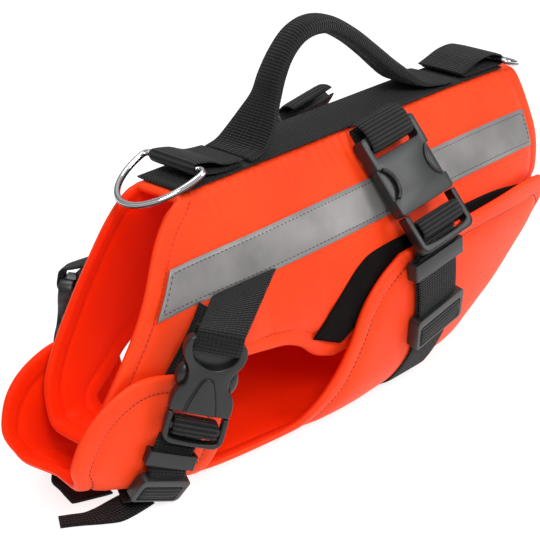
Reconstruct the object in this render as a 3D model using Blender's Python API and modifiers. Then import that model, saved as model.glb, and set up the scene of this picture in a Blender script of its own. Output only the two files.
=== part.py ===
"""Dog life jacket: a foam-padded saddle and belly panel, closed by webbing straps and side-release buckles.

Lengths in the tables are millimetres. x runs from the neck (0) to the tail, y to the dog's right, z up from
the floor. `world` turns them into metres with the origin under the middle of the girth strap.
"""
import math
from bisect import bisect_right

import bmesh
import bpy
import numpy as np
from mathutils import Matrix, Vector, geometry

# ---- driving dimensions, mm ------------------------------------------------------------------------------
MM = 0.001
GIRTH_X = 160.0          # middle of the girth strap, behind the neck opening
GAP = 0.35               # running gap between pieces that touch
SKIN_GAP = 0.95          # gap to a faceted panel, whose flats and corners stray from its form
FOAM = 6.0               # padded panel, face to face
WEBBING = 1.7            # thickness of all webbing
WIDE = 38.0              # spine and girth webbing
NARROW = 25.0            # chest webbing and reflective tape
TAPE = 0.7               # thickness of the reflective tape
PATCH = 1.2              # thickness of the hook-and-loop patch
ARM_OVERLAP = 12.0       # how far the right chest arm runs past the middle
RING_WIRE = 1.9          # radius of the D-ring wire
RING_SPAN = 46.0         # D-ring, wire centre to wire centre along the bar
HANDLE_SIDES = 12

# Half sections of the outside of the back panel, from the spine down: each station has the spine height,
# the flat ridge's half-width and three lower corners.
BACK_FORM = (
    # x    top  ridge  knee_y knee_z  hip_y hip_z  base_y base_z
    (-90, 170, 16.0,  28.0, 112,   27.0, 72,   18.0, 41),
    (-30, 170, 17.5,  30.5, 112,   30.0, 72,   20.0, 40),
    (0,   170, 19.0,  34.0, 112,   36.0, 72,   24.0, 38),
    (60,  170, 19.0,  46.5, 111,   49.5, 70,   36.0, 30),
    (110, 170, 19.0,  54.5, 110,   56.0, 70,   42.0, 24),
    (165, 170, 19.0,  57.0, 110,   58.0, 70,   44.0, 24),
    (240, 170, 19.0,  51.5, 112,   52.5, 74,   40.0, 30),
    (300, 169, 18.5,  42.0, 118,   43.0, 88,   32.0, 52),
    (335, 167, 17.5,  35.0, 120,   36.0, 92,   26.0, 64),
)
BACK_CUTS = (7.0, 26.0, 20.0, 18.0)      # how far each corner of a section is rounded
# Half sections of the outside of the belly panel, from the bottom middle up.
BELLY_FORM = (
    # x    floor base_y  hip_y hip_z  wall_y wall_z  top_y top_z
    (-100, 30,  23.0,   30.5, 46,    33.0, 68,     34.5, 110),
    (-84,  24,  26.0,   33.0, 40,    35.0, 66,     36.0, 110),
    (-40,  10,  31.0,   36.5, 28,    37.5, 62,     37.5, 110),
    (-6,   4.0, 36.0,   41.5, 18,    42.5, 60,     42.5, 112),
    (60,   2.4, 43.0,   52.0, 17,    56.0, 66,     56.0, 114),
    (110,  2.4, 45.0,   57.0, 20,    64.0, 72,     63.0, 114),
    (165,  2.4, 44.0,   59.0, 24,    66.5, 72,     66.0, 114),
    (240,  8.0, 38.0,   51.5, 34,    61.8, 76,     61.6, 114),
    (300,  38,  29.0,   45.0, 60,    52.0, 86,     51.5, 114),
    (335,  58,  24.0,   39.0, 76,    45.0, 94,     44.5, 114),
)
BELLY_CUTS = (12.0, 18.0, 20.0)


def named(colour, roughness, metallic=0.0):
    return {"colour": colour, "roughness": roughness, "metallic": metallic}


FINISHES = {
    "padded_cloth": named((1.0, 0.11, 0.012), 0.62),
    "webbing": named((0.018, 0.019, 0.019), 0.8),
    "reflective_tape": named((0.32, 0.31, 0.30), 0.4),
    "hook_patch": named((0.012, 0.011, 0.011), 0.95),
    "buckle_plastic": named((0.035, 0.037, 0.037), 0.42),
    "chrome": named((0.8, 0.8, 0.8), 0.08, 1.0),
}


# ---- sections --------------------------------------------------------------------------------------------
def smooth_row(table, x):
    """One row of a station table at x, by cubic interpolation between the rows."""
    xs = [row[0] for row in table]
    x = min(max(x, xs[0]), xs[-1])
    i = min(max(bisect_right(xs, x) - 1, 0), len(xs) - 2)
    rows = np.array(table, float)

    def slope(k):
        before, after = max(k - 1, 0), min(k + 1, len(xs) - 1)
        return (rows[after, 1:] - rows[before, 1:]) / (xs[after] - xs[before])

    span = xs[i + 1] - xs[i]
    t = (x - xs[i]) / span
    return (
        (2 * t**3 - 3 * t**2 + 1) * rows[i, 1:]
        + (t**3 - 2 * t**2 + t) * span * slope(i)
        + (3 * t**2 - 2 * t**3) * rows[i + 1, 1:]
        + (t**3 - t**2) * span * slope(i + 1)
    )


def rounded(corners, cuts, steps=6):
    """The open outline through the corners with every inner corner rounded by its cut."""
    corners = [np.array(c, float) for c in corners]
    points = [corners[0]]
    for before, corner, after, cut in zip(corners, corners[1:], corners[2:], cuts):
        back, ahead = before - corner, after - corner
        near = min(cut, 0.49 * np.linalg.norm(back), 0.49 * np.linalg.norm(ahead))
        first = corner + back / np.linalg.norm(back) * near
        last = corner + ahead / np.linalg.norm(ahead) * near
        for k in range(steps + 1):
            t = k / steps
            points.append((1 - t) ** 2 * first + 2 * t * (1 - t) * corner + t**2 * last)
    points.append(corners[-1])
    return np.array(points)


class Form:
    """A body surface addressed by station x and arc length along the section from its middle line."""

    def __init__(self, table, cuts, from_top):
        self.table, self.cuts, self.from_top = table, cuts, from_top
        self.cache = {}

    def corners(self, x):
        row = smooth_row(self.table, x)
        if self.from_top:
            top, ridge, knee_y, knee_z, hip_y, hip_z, base_y, base_z = row
            return (0, top), (ridge, top), (knee_y, knee_z), (hip_y, hip_z), (base_y, base_z), (0, base_z)
        floor, base_y, hip_y, hip_z, wall_y, wall_z, top_y, top_z = row
        return (0, floor), (base_y, floor), (hip_y, hip_z), (wall_y, wall_z), (top_y, top_z)

    def section(self, x):
        key = round(x, 2)
        if key not in self.cache:
            points = rounded(self.corners(x), self.cuts)
            steps = np.linalg.norm(np.diff(points, axis=0), axis=1)
            self.cache[key] = points, np.concatenate([[0], np.cumsum(steps)])
        return self.cache[key]

    def whole(self, x):
        return self.section(x)[1][-1]

    def flat(self, x, arc):
        points, arcs = self.section(x)
        return np.array([np.interp(arc, arcs, points[:, 0]), np.interp(arc, arcs, points[:, 1])])

    def point(self, x, arc, out=0.0):
        """The point at signed arc length (right side positive), moved out of the surface."""
        side = 1 if arc >= 0 else -1
        length = abs(arc)
        if length > self.whole(x):
            side, length = -side, 2 * self.whole(x) - length
        y, z = self.flat(x, length)
        ahead, behind = self.flat(x, length + 1.5), self.flat(x, max(length - 1.5, 0))
        dy, dz = (ahead - behind) / np.linalg.norm(ahead - behind)
        turn = 1 if self.from_top else -1
        return np.array([x, side * (y - turn * dz * out), z + turn * dy * out])

    def arc_at(self, x, z):
        """Arc length from the middle line to where the section passes the height z."""
        points, arcs = self.section(x)
        heights = points[:, 1] if not self.from_top else -points[:, 1]
        return float(np.interp(z if not self.from_top else -z, heights, arcs))


BACK = Form(BACK_FORM, BACK_CUTS, True)
BELLY = Form(BELLY_FORM, BELLY_CUTS, False)


def world(point):
    x, y, z = point
    return Vector(((x - GIRTH_X) * MM, y * MM, z * MM))


# ---- outlines --------------------------------------------------------------------------------------------
# Side-view points (x, z) of the back panel's edges, from the neck down and round to the rear.
NECK_EDGE = ((0, 170), (-11, 162), (-22, 148), (-35, 123), (-46, 104), (-61, 80), (-68, 65), (-70, 52))
NECK_FOOT_X, ARM_REAR_X = -71.0, -37.0
ARM_REAR = ((-34, 47), (-22, 53), (-6, 61))
LEG_ARCH = ((-6, 61), (7, 65), (22, 68), (45, 67.5), (58, 66), (70, 60), (82, 50), (98, 43))
FLANK_EDGE = ((98, 43), (150, 48), (200, 57), (250, 68), (300, 82), (318, 88))
TAIL_EDGE = ((323, 97), (326, 124), (324, 150), (320, 166))
TAIL_X = 318.0
# Side-view points of the belly panel's edges, from the front hem up and round to the rear hem.
FRONT_HEM_X, REAR_HEM_X = -83.0, 226.0
FLAP_EDGE = ((-90, 31), (-95, 45), (-90, 62), (-80, 73), (-66, 80), (-50, 83), (-32, 80), (-12, 72), (2, 56),
             (6, 38), (2, 18), (-5, 5.5))
WAIST_EDGE = ((-5, 5.5), (18, 6.5), (45, 6.5), (62, 9), (74, 19))
WING_FRONT = ((74, 19), (90, 36), (99, 52), (108, 76), (122, 92), (140, 103))
WING_TOP = ((140, 103), (165, 104.5), (200, 105), (250, 104), (296, 101), (314, 98))
WING_REAR = ((324, 91), (324, 80), (300, 58), (270, 37), (244, 19))


def through(points, step):
    """Points about a step apart on a smooth curve through the given ones."""
    points = [np.array(p, float) for p in points]
    out = []
    for i in range(len(points) - 1):
        before = points[max(i - 1, 0)]
        first, last = points[i], points[i + 1]
        after = points[min(i + 2, len(points) - 1)]
        count = max(1, round(float(np.linalg.norm(last - first)) / step))
        for k in range(count):
            t = k / count
            out.append(0.5 * (2 * first + (last - before) * t
                              + (2 * before - 5 * first + 4 * last - after) * t**2
                              + (3 * first - before - 3 * last + after) * t**3))
    out.append(points[-1])
    return out


def on_pattern(form, edge, step=8.0):
    """A side-view edge as pattern points (x, arc) on a form."""
    return [(x, form.arc_at(x, z)) for x, z in through(edge, step)]


def even(first, last, step=9.0):
    """Points of a straight pattern edge, without its ends."""
    count = max(2, round(math.dist(first, last) / step))
    return [tuple(np.array(first) + (np.array(last) - np.array(first)) * k / count) for k in range(1, count)]


def mirrored(points):
    return [(x, -s) for x, s in points]


def back_pattern():
    """Outline of the saddle and its two chest arms as (x, signed arc), right side positive."""
    front = [(NECK_EDGE[0][0], 0)] + [(-1.0, 9), (-1.0, 17)] + on_pattern(BACK, NECK_EDGE)[1:]
    rear = on_pattern(BACK, ARM_REAR)[:-1] + on_pattern(BACK, LEG_ARCH)[:-1]
    rear += on_pattern(BACK, FLANK_EDGE) + on_pattern(BACK, TAIL_EDGE)
    rear += [(TAIL_X + 1, 14), (TAIL_X, 0)]
    far = ARM_OVERLAP
    right_foot = [(NECK_FOOT_X, BACK.whole(NECK_FOOT_X) - 4), (NECK_FOOT_X, BACK.whole(NECK_FOOT_X) + far - GAP)]
    right_foot += [(-54, BACK.whole(-54) + far - GAP)]
    right_foot += [(ARM_REAR_X, BACK.whole(ARM_REAR_X) + far - GAP), (ARM_REAR_X, BACK.whole(ARM_REAR_X) - 4)]
    left_foot = [(NECK_FOOT_X + 1, BACK.whole(NECK_FOOT_X) - far), (-54, BACK.whole(-54) - far)]
    left_foot += [(ARM_REAR_X, BACK.whole(ARM_REAR_X) - far)]
    right = front + right_foot + rear
    left = front + left_foot + rear
    return right + mirrored(left)[-2:0:-1]


def belly_pattern():
    half = on_pattern(BELLY, FLAP_EDGE)[:-1] + on_pattern(BELLY, WAIST_EDGE)[:-1]
    half += on_pattern(BELLY, WING_FRONT)[:-1] + on_pattern(BELLY, WING_TOP) + on_pattern(BELLY, WING_REAR)
    front = even((FRONT_HEM_X, 0), half[0])
    rear = even(half[-1], (REAR_HEM_X, 0))
    half = [(FRONT_HEM_X, 0)] + front + half + rear + [(REAR_HEM_X, 0)]
    return half + mirrored(half)[-2:0:-1]


def inside(point, outline):
    x, s = point
    hit = False
    for (x1, s1), (x2, s2) in zip(outline, outline[1:] + outline[:1]):
        if (s1 > s) != (s2 > s) and x < (x2 - x1) * (s - s1) / (s2 - s1) + x1:
            hit = not hit
    return hit


def clear_of(point, outline, margin):
    p = np.array(point)
    a = np.array(outline)
    b = np.roll(a, -1, axis=0)
    t = np.clip(np.einsum("ij,ij->i", p - a, b - a) / np.einsum("ij,ij->i", b - a, b - a), 0, 1)
    return np.linalg.norm(p - (a + (b - a) * t[:, None]), axis=1).min() > margin


def fill_pattern(outline, columns, rows):
    """Triangles over the pattern, with its own points inside at the given columns and rows."""
    grid = [(x, s) for x in columns for s in rows if inside((x, s), outline) and clear_of((x, s), outline, 3.5)]
    points = [Vector(p) for p in list(outline) + grid]
    loop = [(i, (i + 1) % len(outline)) for i in range(len(outline))]
    verts, _, faces, *_ = geometry.delaunay_2d_cdt(points, loop, [], 1, 1e-6)
    return [tuple(v) for v in verts], faces


# ---- mesh helpers ----------------------------------------------------------------------------------------
def finish(obj, collection, finish_name):
    material = bpy.data.materials.get(finish_name)
    if material is None:
        material = bpy.data.materials.new(finish_name)
        material.use_nodes = True
        shader = material.node_tree.nodes["Principled BSDF"]
        finish_values = FINISHES[finish_name]
        shader.inputs["Base Color"].default_value = (*finish_values["colour"], 1)
        shader.inputs["Roughness"].default_value = finish_values["roughness"]
        shader.inputs["Metallic"].default_value = finish_values["metallic"]
    obj.data.materials.clear()
    obj.data.materials.append(material)
    for other in obj.users_collection:
        other.objects.unlink(obj)
    collection.objects.link(obj)
    return obj


def mesh_object(name, points, faces, collection, finish_name):
    mesh = bpy.data.meshes.new(name)
    mesh.from_pydata([tuple(world(p)) for p in points], [], faces)
    obj = bpy.data.objects.new(name, mesh)
    return finish(obj, collection, finish_name)


def face_outwards(obj, outward):
    """Turns an open sheet's faces to the side that outward(face centre) points to."""
    mesh = bmesh.new()
    mesh.from_mesh(obj.data)
    bmesh.ops.recalc_face_normals(mesh, faces=mesh.faces)
    mesh.normal_update()
    agree = sum(f.normal.dot(outward(f.calc_center_median())) * f.calc_area() for f in mesh.faces)
    if agree < 0:
        bmesh.ops.reverse_faces(mesh, faces=mesh.faces)
    mesh.to_mesh(obj.data)
    mesh.free()


def thicken(obj, thickness, offset):
    """A wall from an open sheet: offset -1 grows it inwards, 1 outwards, 0 both ways."""
    wall = obj.modifiers.new("Wall", "SOLIDIFY")
    wall.thickness = thickness * MM
    wall.offset = offset
    wall.use_even_offset = True
    wall.use_quality_normals = True


def from_axis(centre):
    """Away from the jacket's long middle line."""
    return Vector((0, centre.y, centre.z - 0.09))


def panel(name, form, outline, columns, rows, collection, finish_name, out=0.0, thickness=FOAM):
    flat, faces = fill_pattern(outline, columns, rows)
    points = [form.point(x, s, out) for x, s in flat]
    obj = mesh_object(name, points, faces, collection, finish_name)
    face_outwards(obj, from_axis)
    thicken(obj, thickness, -1)
    return obj


def ribbon(name, rows, thickness, collection, finish_name, offset=0.0):
    """A flat strap through rows of points; each row runs across the strap."""
    wide = len(rows[0])
    points = [p for row in rows for p in row]
    faces = [(i * wide + j, i * wide + j + 1, (i + 1) * wide + j + 1, (i + 1) * wide + j)
             for i in range(len(rows) - 1) for j in range(wide - 1)]
    obj = mesh_object(name, points, faces, collection, finish_name)
    mesh = bmesh.new()
    mesh.from_mesh(obj.data)
    bmesh.ops.recalc_face_normals(mesh, faces=mesh.faces)
    mesh.to_mesh(obj.data)
    mesh.free()
    thicken(obj, thickness, offset)
    return obj


def twin(obj, name, collection):
    """The same piece on the right side of the jacket."""
    other = obj.copy()
    other.name = name
    other.matrix_world = Matrix.Scale(-1, 4, (0, 1, 0)) @ obj.matrix_world
    collection.objects.link(other)
    return other


class Seat:
    """A flat place on the jacket: an origin, the direction across and the direction down its length."""

    def __init__(self, origin, across, down):
        self.origin = np.array(origin, float)
        self.down = np.array(down, float) / np.linalg.norm(down)
        across = np.array(across, float)
        across -= self.down * across.dot(self.down)
        self.across = across / np.linalg.norm(across)
        self.out = np.cross(self.down, self.across)

    def point(self, u, v, n=0.0):
        return self.origin + self.across * u + self.down * v + self.out * n

    def matrix(self):
        axes = Matrix([list(self.across), list(-self.down), list(self.out)]).transposed().to_4x4()
        return Matrix.Translation(world(self.origin)) @ axes


def plate(name, outline, holes, back, front, seat, collection, finish_name, bevel=0.6):
    """A moulded plate: a flat outline with holes, extruded from n = back to n = front on a seat."""
    curve = bpy.data.curves.new(name, "CURVE")
    curve.dimensions = "2D"
    curve.fill_mode = "BOTH"
    curve.extrude = (front - back) / 2 * MM
    for loop in [outline] + list(holes):
        spline = curve.splines.new("POLY")
        spline.points.add(len(loop) - 1)
        for point, (u, v) in zip(spline.points, loop):
            point.co = (u * MM, -v * MM, 0, 1)
        spline.use_cyclic_u = True
    draft = bpy.data.objects.new(name + "_outline", curve)
    bpy.context.scene.collection.objects.link(draft)
    bpy.context.view_layer.update()
    graph = bpy.context.evaluated_depsgraph_get()
    data = bpy.data.meshes.new_from_object(draft.evaluated_get(graph))
    bpy.data.objects.remove(draft)
    mesh = bmesh.new()
    mesh.from_mesh(data)
    bmesh.ops.remove_doubles(mesh, verts=mesh.verts, dist=1e-6)
    bmesh.ops.translate(mesh, verts=mesh.verts, vec=(0, 0, (front + back) / 2 * MM))
    mesh.to_mesh(data)
    mesh.free()
    data.name = name
    obj = bpy.data.objects.new(name, data)
    obj.matrix_world = seat.matrix()
    if bevel:
        soft = obj.modifiers.new("Edges", "BEVEL")
        soft.width = bevel * MM
        soft.segments = 1
        soft.limit_method = "ANGLE"
        soft.angle_limit = math.radians(50)
    return finish(obj, collection, finish_name)


def rounded_box(half_width, top, bottom, radius, corner=3):
    """Outline of a rectangle with round corners, from v = top to v = bottom."""
    points = []
    for centre_u, centre_v, start in ((half_width - radius, top + radius, -90), (half_width - radius, bottom - radius, 0),
                                      (radius - half_width, bottom - radius, 90), (radius - half_width, top + radius, 180)):
        for k in range(corner + 1):
            angle = math.radians(start + 90 * k / corner)
            points.append((centre_u + radius * math.cos(angle), centre_v + radius * math.sin(angle)))
    return points


# ---- cloth panels ----------------------------------------------------------------------------------------
PATTERN_COLUMNS = list(range(-92, 325, 14))
BACK_ROWS = [s * side for s in (12, 19, 26, 40, 53, 66, 79, 92, 105, 118, 131, 144, 158, 172) for side in (-1, 1)] + [0]
BELLY_ROWS = [s * side for s in (13, 25, 36, 47, 58, 69, 82, 95, 108, 121) for side in (-1, 1)] + [0]
TAPE_DROP_FRONT, TAPE_DROP_REAR = 33.0, 27.0     # top edge of the tape, below the ridge along the wall
TAPE_END = 311.0
HEM = 11.0                                       # neck edge to its stitching
PATCH_EDGE = ((74, 66), (94, 89), (111, 104), (130, 109), (170, 111), (230, 112), (284, 112))
PATCH_FOOT = ((284, 90), (230, 84), (170, 80), (135, 78), (112, 66), (98, 55))


def neck_edge_x(z):
    heights = [row[1] for row in NECK_EDGE][::-1]
    return float(np.interp(z, heights, [row[0] for row in NECK_EDGE][::-1]))


def reflective_strip(collection):
    rows = []
    for x in np.linspace(0, 1, 27):
        row = []
        for across in (0.0, 0.5, 1.0):
            drop = TAPE_DROP_FRONT + (TAPE_DROP_REAR - TAPE_DROP_FRONT) * x
            arc = 19 + drop + NARROW * across
            start = neck_edge_x(BACK.flat(-20, arc)[1]) + HEM
            row.append(BACK.point(start + (TAPE_END - start) * x, -arc, SKIN_GAP + TAPE / 2))
        rows.append(row)
    return ribbon("reflective_strip_left", rows, TAPE, collection, "reflective_tape")


def loop_patch(collection):
    edge = on_pattern(BACK, PATCH_EDGE, 12) + on_pattern(BACK, PATCH_FOOT, 12)
    outline = [(x, -s) for x, s in edge]
    return panel("hook_patch_left", BACK, outline, PATTERN_COLUMNS, [-84, -97, -110, -122], collection,
                 "hook_patch", out=SKIN_GAP + PATCH, thickness=PATCH)


SPINE_LIFT = 1.35                        # middle of the spine webbing above the ridge


def spine_webbing(collection):
    rows = [[BACK.point(x, s, SPINE_LIFT) for s in (-18.5, -12, 0, 12, 18.5)] for x in np.linspace(3, 303, 24)]
    return ribbon("spine_webbing", rows, WEBBING, collection, "webbing")


# ---- rings and their loops -------------------------------------------------------------------------------
# Side-view points (x, z) of each webbing loop's middle layer and of its D-ring's bar and crown.
FRONT_BAR, FRONT_CROWN = (15.0, 181.4), (-23.0, 167.8)
REAR_BAR, REAR_CROWN = (301.0, 175.6), (331.0, 165.5)
LOOP_RADIUS = RING_WIRE + 0.5 + WEBBING / 2
FRONT_LOOP_LOW = ((50, 173.6), (36, 173.7), (26, 175.4))
FRONT_LOOP_HIGH = ((26, 182.2), (38, 177.5), (52, 175.9))
REAR_LOOP_LOW = ((262, 173.5), (278, 173.2), (292, 172.9))
REAR_LOOP_HIGH = ((291, 181.6), (278, 181.0), (266, 177.9), (258, 175.9))


def loop_path(low, bar, turn, high):
    """Round the bar from below to above; turn is -1 where the loop opens towards the neck."""
    around = [(bar[0] + turn * LOOP_RADIUS * math.cos(a), bar[1] + LOOP_RADIUS * math.sin(a))
              for a in (-1.3, -0.75, 0.0, 0.75, 1.3)]
    return list(low) + around + list(high)


def ring_loop(name, path, half_width, collection):
    rows = [[(x, y, z) for y in (-half_width, 0, half_width)] for x, z in through(path, 4.5)]
    return ribbon(name, rows, WEBBING, collection, "webbing")


def d_ring(name, bar, crown, collection):
    """A closed wire: a straight bar along y and a half-round bow, its origin on the bar's middle."""
    half, reach = RING_SPAN / 2, math.dist(bar, crown)
    corner = 3.5
    outline = [(0, half - corner), (0, corner - half)]
    for k in range(13):
        angle = math.pi * k / 12
        outline.append((corner + (reach - corner) * math.sin(angle), -half * math.cos(angle)))
    curve = bpy.data.curves.new(name, "CURVE")
    curve.dimensions = "3D"
    curve.bevel_depth = RING_WIRE * MM
    curve.bevel_resolution = 2
    spline = curve.splines.new("POLY")
    spline.points.add(len(outline) - 1)
    lean = Vector((crown[0] - bar[0], 0, crown[1] - bar[1])).normalized()
    for point, (far, y) in zip(spline.points, outline):
        point.co = (lean.x * far * MM, y * MM, lean.z * far * MM, 1)
    spline.use_cyclic_u = True
    obj = bpy.data.objects.new(name, curve)
    obj.location = world((bar[0], 0, bar[1]))
    return finish(obj, collection, "chrome")


# ---- grab handle -----------------------------------------------------------------------------------------
HANDLE = (
    # x      z    width  thickness
    (57,  174.1,  36.0,  2.6),
    (66,  175.8,  36.0,  3.0),
    (74,  181.6,  33.5,  4.2),
    (82,  190.0,  28.0,  7.0),
    (89,  200.0,  20.5, 10.5),
    (94,  211.0,  17.5, 12.5),
    (102, 222.0,  17.0, 13.0),
    (113, 230.5,  17.0, 13.0),
    (127, 233.5,  17.0, 13.0),
    (142, 229.5,  17.0, 12.0),
    (160, 218.0,  17.0, 12.0),
    (177, 205.0,  18.0, 12.0),
    (193, 192.5,  20.0, 11.0),
    (207, 183.2,  25.0,  7.5),
    (222, 177.9,  32.0,  4.4),
    (237, 175.0,  36.0,  2.8),
    (249, 174.1,  36.0,  2.6),
)


def grab_handle(collection):
    """One length of wide webbing, flat where it is sewn down and folded to a tube over the hand gap."""
    rows = through([(x, z, w, t) for x, z, w, t in HANDLE], 9.0)
    points, faces = [], []
    for i, (x, z, width, thickness) in enumerate(rows):
        before, after = rows[max(i - 1, 0)], rows[min(i + 1, len(rows) - 1)]
        along = Vector((after[0] - before[0], after[1] - before[1])).normalized()
        for k in range(HANDLE_SIDES):
            angle = 2 * math.pi * (k + 0.5) / HANDLE_SIDES
            square = (abs(math.cos(angle)) ** 3 + abs(math.sin(angle)) ** 3) ** (-1 / 3)
            side, lift = square * math.cos(angle) * width / 2, square * math.sin(angle) * thickness / 2
            points.append((x - along.y * lift, side, z + along.x * lift))
    for i in range(len(rows) - 1):
        for k in range(HANDLE_SIDES):
            a, b = i * HANDLE_SIDES + k, i * HANDLE_SIDES + (k + 1) % HANDLE_SIDES
            faces.append((a, b, b + HANDLE_SIDES, a + HANDLE_SIDES))
    faces.append(tuple(range(HANDLE_SIDES))[::-1])
    faces.append(tuple(range(len(points) - HANDLE_SIDES, len(points))))
    obj = mesh_object("handle", points, faces, collection, "webbing")
    mesh = bmesh.new()
    mesh.from_mesh(obj.data)
    bmesh.ops.recalc_face_normals(mesh, faces=mesh.faces)
    mesh.to_mesh(obj.data)
    mesh.free()
    return obj


# ---- straps ----------------------------------------------------------------------------------------------
def full_width(row):
    return tuple(row) if len(row) == 7 else (*row, 1.0)


def strap(name, table, width, collection, step=6.0):
    """Webbing along rows of (x, y, z, across x, across y, across z, share of the width)."""
    rows = []
    for row in through([full_width(r) for r in table], step):
        centre, across = row[:3], row[3:6] / np.linalg.norm(row[3:6])
        row_points = [centre + across * width * row[6] * k / 2 for k in (-1, 0, 1)]
        rows.append([(x, y, max(z, WEBBING / 2)) for x, y, z in row_points])
    return ribbon(name, rows, WEBBING, collection, "webbing")


def along_seat(seat, profile, across=None):
    """Strap rows over a buckle, from (length, out) points on its seat."""
    across = seat.across if across is None else across
    return [(*seat.point(0, v, n), *across) for v, n in profile]


# Buckle seats on the left side: the middle of the top edge of the face, across, and down the length.
GIRTH_SEAT = Seat((158.2, -34.5, 171.7), (0.99, -0.04, 0.12), (0.09, -0.60, -0.795))
CHEST_SEAT = Seat((-16.2, -62.2, 104.1), (0.74, -0.60, -0.30), (-0.28, 0.10, -0.95))
# Lengths down a buckle, and half-widths: wide is the girth buckle and slim is the chest buckle.
WIDE_BUCKLE = {"half": 24.0, "joint": 52.0, "end": 78.0, "thick": 9.0, "slot": (6.0, 14.0),
               "bar": (61.0, 66.5), "window": (55.5, 73.5), "slot_half": 19.8}
SLIM_BUCKLE = {"half": 17.5, "joint": 44.0, "end": 63.0, "thick": 8.0, "slot": (4.5, 11.0),
               "bar": (51.0, 54.5), "window": (46.0, 60.0), "slot_half": 13.2}


PLUG_THINNER = 1.4                       # a plug's frame is this much thinner than its socket


def box_loop(half_width, top, bottom):
    return [(-half_width, top), (half_width, top), (half_width, bottom), (-half_width, bottom)]


def socket(name, size, seat, collection):
    """The half that stays on the upper strap: a webbing slot on top and a thumb notch in each side."""
    half, joint = size["half"], size["joint"]
    notch_top, notch_bottom, notch_deep = 0.38 * joint, 0.78 * joint, 0.16 * half
    outline = rounded_box(half, 0.0, joint - 0.3, 3.0)
    middle, radius = (notch_top + notch_bottom) / 2, (notch_bottom - notch_top) / 2
    arcs = [(half - notch_deep * math.sin(math.pi * k / 6), middle - radius * math.cos(math.pi * k / 6))
            for k in range(7)]
    right = [p for p in outline if p[0] > 0]
    split = next(i for i, p in enumerate(right) if p[1] > middle)
    right = right[:split] + arcs + right[split:]
    outline = right + [(-u, v) for u, v in right[::-1]]
    slot = rounded_box(size["slot_half"], *size["slot"], 2.0)
    return plate(name, outline, [slot], -size["thick"], 0.0, seat, collection, "buckle_plastic")


def plug(name, size, seat, collection):
    """The half on the lower strap: a frame with a bar between two windows for the webbing."""
    half = size["half"] - 0.8
    outline = rounded_box(half, size["joint"] + 0.3, size["end"], 3.0)
    upper = rounded_box(size["slot_half"], size["window"][0], size["bar"][0], 1.2)
    lower = rounded_box(size["slot_half"], size["bar"][1], size["window"][1], 1.2)
    return plate(name, outline, [upper, lower], -size["thick"] + PLUG_THINNER, 0.0, seat, collection, "buckle_plastic")


def sleeve(name, seat, half_in, opening, half_out, outside, length, collection, finish_name="buckle_plastic"):
    """A flat tube round the webbing: opening and outside are (lowest, highest) distances from the seat."""
    end_on = Seat(seat.origin, seat.across, -seat.out)
    outline = rounded_box(half_out, -outside[1], -outside[0], 0.8)
    hole = box_loop(half_in, -opening[1], -opening[0])
    return plate(name, outline, [hole], 0.0, length, end_on, collection, finish_name, bevel=0.3)


# Girth strap: how far its middle stands off the belly panel under the floor, at the hip and on the side, the
# rise of its width as it leans to the rear, and the (station, arc) pairs of its way in to the middle line.
GIRTH_LIFT_FLOOR, GIRTH_LIFT_HIP, GIRTH_LIFT_SIDE = 1.55, 2.3, 3.0
GIRTH_LEAN = 0.18
GIRTH_TURN = ((163.7, 38), (162.3, 32), (161, 24), (160.3, 16), (160, 8))
LAYER = WEBBING + 0.7                   # middle of one webbing layer to the next
KEEPER_TOP, KEEPER_LONG = 99.5, 11.0      # height of the girth keeper's top, and its length
SLIDER_TOP, SLIDER_LONG = 62.0, 23.0
CHEST_KEEPER_LONG, CHEST_SLIDER_LONG = 8.5, 18.0


def girth_x(z):
    """Station of the girth strap's middle at height z: it leans to the rear on its way down the side."""
    return float(np.interp(z, (8, 20, 36, 62, 98, 108), (167.0, 172.0, 175.0, 170.0, 163.5, 167.5)))


def girth_row(z, layer=0):
    """The girth strap's centre and across direction where it passes height z on the left side."""
    x = girth_x(z)
    arc = BELLY.arc_at(x, z)
    lift = float(np.interp(z, (8, 14, 36), (GIRTH_LIFT_HIP, GIRTH_LIFT_HIP, GIRTH_LIFT_SIDE))) + layer * LAYER
    return (*BELLY.point(x, -arc, lift), 1.0, 0.0, float(np.interp(z, (12, 36), (0, GIRTH_LEAN))))


def girth_strap_upper(collection):
    fold = ((-8.4, -10.0), (-4, -10.4), (5, -10.4), (9.2, -9.4), (10.3, -5.5), (9.4, -0.6), (6, 1.15), (0, 1.25),
            (-4.5, 0.5), (-8.5, -2.6), (-10.4, -6.6))
    return strap("girth_strap_upper_left", along_seat(GIRTH_SEAT, fold), WIDE, collection, 3.0)


def plug_wrap(size, back):
    """The webbing's way over a plug's bar as (length, out): up behind, over the bar, down behind again."""
    bar_top, bar_bottom = size["bar"]
    return ((size["window"][1] - 2, back), (bar_bottom, back), (bar_top - 0.6, back), (bar_top - 1.9, back + 1.2),
            (bar_top - 2.1, -0.8), (bar_top - 0.6, 1.3), (bar_bottom + 0.6, 1.3), (bar_bottom + 2.2, -0.9),
            (bar_bottom + 2.4, back * 0.42))


def girth_strap_lower(collection):
    """One length from buckle to buckle under the belly."""
    wrap = along_seat(GIRTH_SEAT, plug_wrap(WIDE_BUCKLE, -11.4))[::-1]
    side = [girth_row(z) for z in (102, 96, 88, 76, 64, 52, 42, 33, 25, 18, 12, 8)]
    flat = [(*BELLY.point(x, -s, GIRTH_LIFT_FLOOR), 1.0, 0.0, 0.0) for x, s in GIRTH_TURN]
    left = wrap + side + flat
    right = [(x, -y, z, ax, -ay, az) for x, y, z, ax, ay, az in left]
    middle = [(GIRTH_X, 0.0, BELLY.flat(GIRTH_X, 0)[1] - GIRTH_LIFT_FLOOR, 1.0, 0.0, 0.0)]
    return strap("girth_strap_lower", left + middle + right[::-1], WIDE, collection)


def girth_strap_return(collection):
    rows = [girth_row(z, 1) for z in (102, 96, 88, 76, 64, 52, 44)]
    return strap("girth_strap_return_left", rows, WIDE, collection)


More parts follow.
